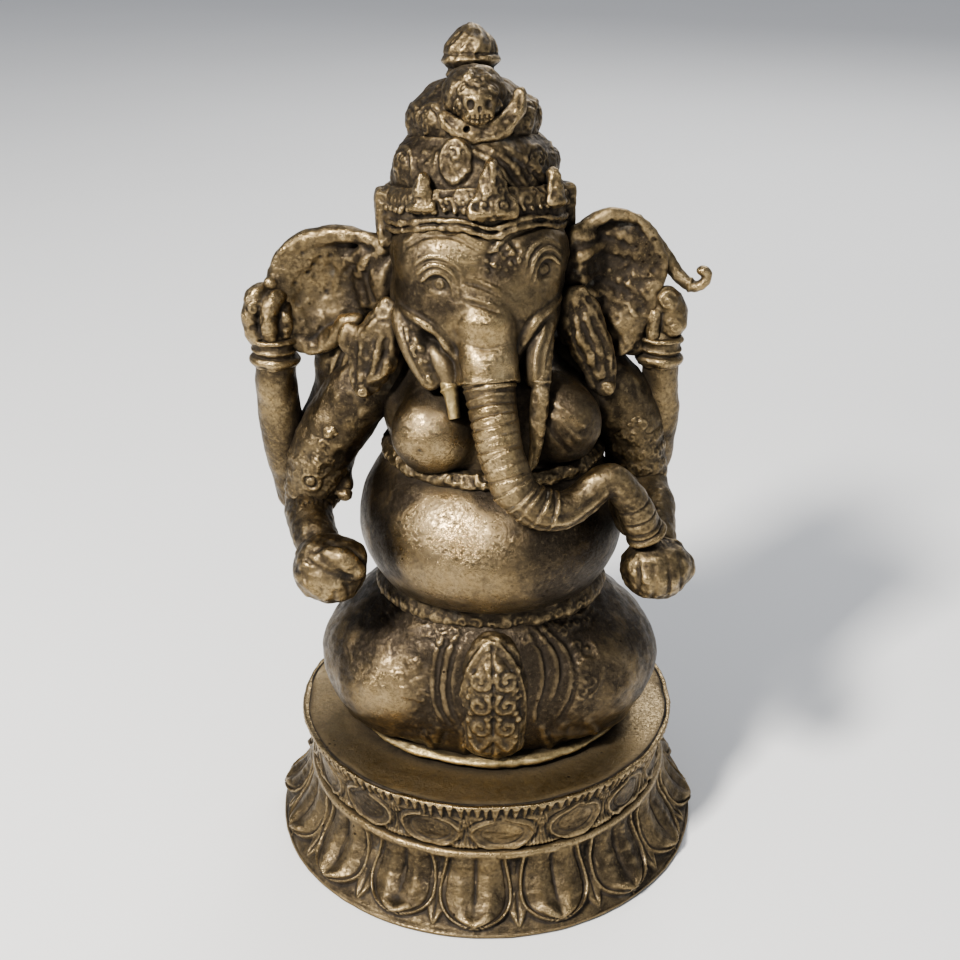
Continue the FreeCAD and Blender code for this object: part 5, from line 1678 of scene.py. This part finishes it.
# places brightened as painted highlight where the light falls, or darkened as painted shade where shade falls,
# partly real rubbed polish and corrosion: (x, y, height, reach, amount)
wear_and_painted_light_of = {
    "torso_belly": [(-12, -74, 128, 30, 0.8), (-26, -58, 176, 13, 0.9), (38, -55, 184, 8, 0.6),
                    (40, -50, 112, 26, -0.5),
                    (-45, -50, 116, 10, -0.9), (44, -44, 170, 14, -0.8), (3, -60, 150, 10, -0.8)],
    "crossed_legs": [(-50, -60, 42, 15, 1.2), (-70, -30, 46, 16, 0.4), (62, -44, 40, 14, 0.5),
                     (3, -60, 62, 24, -0.8),
                     (-40, -40, 74, 18, -0.7), (40, -40, 74, 18, -0.7), (0, -60, 12, 30, -0.5)],
    "elephant_head": [(-1, -60, 231, 10, 1.1), (0, -64, 216, 10, 1.1), (-34, -30, 246, 12, -0.5),
                      (33, -20, 240, 12, -0.8),
                      (6, -45, 258, 7, -1.4), (-8, -44, 264, 9, 0.5)],
    "ringed_trunk": [(0, -75, 182, 14, 0.9), (8, -84, 164, 10, 0.6), (66, -70, 150, 12, -0.3)],
    "raised_arm_right": [(-104, -14, 178, 14, 0.2), (-74, -8, 184, 18, -1.2)],
    "raised_arm_left": [(86, -14, 176, 14, 0.4)],
    "ear_dish_right": [(-82, -12, 236, 18, 0.5), (-56, -16, 236, 10, -0.4)],
    "ear_dish_left": [(66, -14, 218, 10, 0.7), (50, -16, 250, 14, -0.6)],
    "upper_arm_right": [(-56, -16, 192, 16, -0.8)],
    "upper_arm_left": [(58, -16, 190, 14, -0.6)],
    "lower_fist_right": [(-76, -74, 106, 8, 0.8)],
    "lower_fist_left": [(78, -76, 112, 7, 0.6)],
    "crown_tier_low": [(-16, -46, 294, 10, 0.6)],
}


def finish_sculpt(name):
    """Runs one sculptor and works out the hollows of its surface and its spots of wear and painted light."""
    points, quads = pieces[name][0]()
    edge = points[quads[:, 1]] - points[quads[:, 0]]
    fine, broad = hollows(points, quads, float(np.median(np.linalg.norm(edge, axis=1))))
    wear_and_painted_light = np.zeros(len(points))
    for x, y, height, reach, amount in wear_and_painted_light_of.get(name, []):
        wear_and_painted_light += amount * np.exp(-((points - (x, y, height)) ** 2).sum(1) / reach ** 2)
    return points, quads, fine, broad, wear_and_painted_light


with ThreadPoolExecutor(4) as pool:
    sculpted = dict(zip(pieces, pool.map(finish_sculpt, pieces)))
for name, (sculptor, replaced, look) in pieces.items():
    on_pedestal = replaced[0] in pedestal_nodes
    make_object(name, sculpted[name], "pedestal" if on_pedestal else "figure", replaced,
                finish_of[look], 0.0 if on_pedestal else SEAT)

spigot = frame["nodes"]["locating_spigot"]
spigot.data.materials.clear()
spigot.data.materials.append(finish_of["dark_patina_and_shade"])

# ---- floor, light and camera --------------------------------------------------------------------------
ground = Nodes("pale_floor")
speckle = ground.noise(ground.node("ShaderNodeTexCoord").outputs["Object"], 3.0, 3.0)
paper = ground.mix(speckle, (0.80, 0.80, 0.79, 1), (0.84, 0.84, 0.83, 1))
plain = ground.node("ShaderNodeBsdfPrincipled", {"Base Color": paper, "Roughness": 0.9})
ground.node("ShaderNodeOutputMaterial", {"Surface": plain.outputs[0]})
floor_mesh = bpy.data.meshes.new("floor")
floor_corners = [(x * FLOOR_HALF, y * FLOOR_HALF, 0) for x, y in ((-1, -1), (1, -1), (1, 1), (-1, 1))]
floor_mesh.from_pydata(floor_corners, [], [(0, 1, 2, 3)])
floor_mesh.materials.append(ground.material)
floor = bpy.data.objects.new("floor", floor_mesh)
floor.location.z = -FLOOR_DROP
bpy.context.scene.collection.objects.link(floor)

target = Vector((0, 0, 0.5 * cad_box[1].z))


def area_light(name, place, size, watts, colour):
    """Soft square light aimed at the middle of the statue."""
    data = bpy.data.lights.new(name, "AREA")
    data.shape = "SQUARE"
    data.size = size
    data.energy = watts
    data.color = colour
    lamp = bpy.data.objects.new(name, data)
    lamp.location = place
    lamp.rotation_mode = "QUATERNION"
    lamp.rotation_quaternion = (target - Vector(place)).to_track_quat("-Z", "Y")
    bpy.context.scene.collection.objects.link(lamp)


area_light("key", (-0.95, -1.15, 1.65), 0.30, 84.0, (1.0, 0.965, 0.91))
area_light("fill", (1.5, -1.2, 0.9), 1.4, 5.0, (0.93, 0.96, 1.0))
area_light("back", (0.6, 1.6, 1.5), 1.2, 18.0, (1.0, 1.0, 1.0))

world = bpy.data.worlds.new("studio")
world.use_nodes = True
world.node_tree.nodes["Background"].inputs[0].default_value = (0.86, 0.9, 1.0, 1)
world.node_tree.nodes["Background"].inputs[1].default_value = 0.36
bpy.context.scene.world = world
bpy.context.scene.view_settings.look = "AgX - Medium High Contrast"

camera_data = bpy.data.cameras.new("camera")
camera_data.lens = 54.64
camera_data.sensor_width = 36.0
camera_data.shift_x = -0.0073
camera = bpy.data.objects.new("camera", camera_data)
camera.location = (0.0, -0.6636, 0.5221)
camera.rotation_euler = (math.radians(90 - 26), 0, 0)
bpy.context.scene.collection.objects.link(camera)
bpy.context.scene.camera = camera
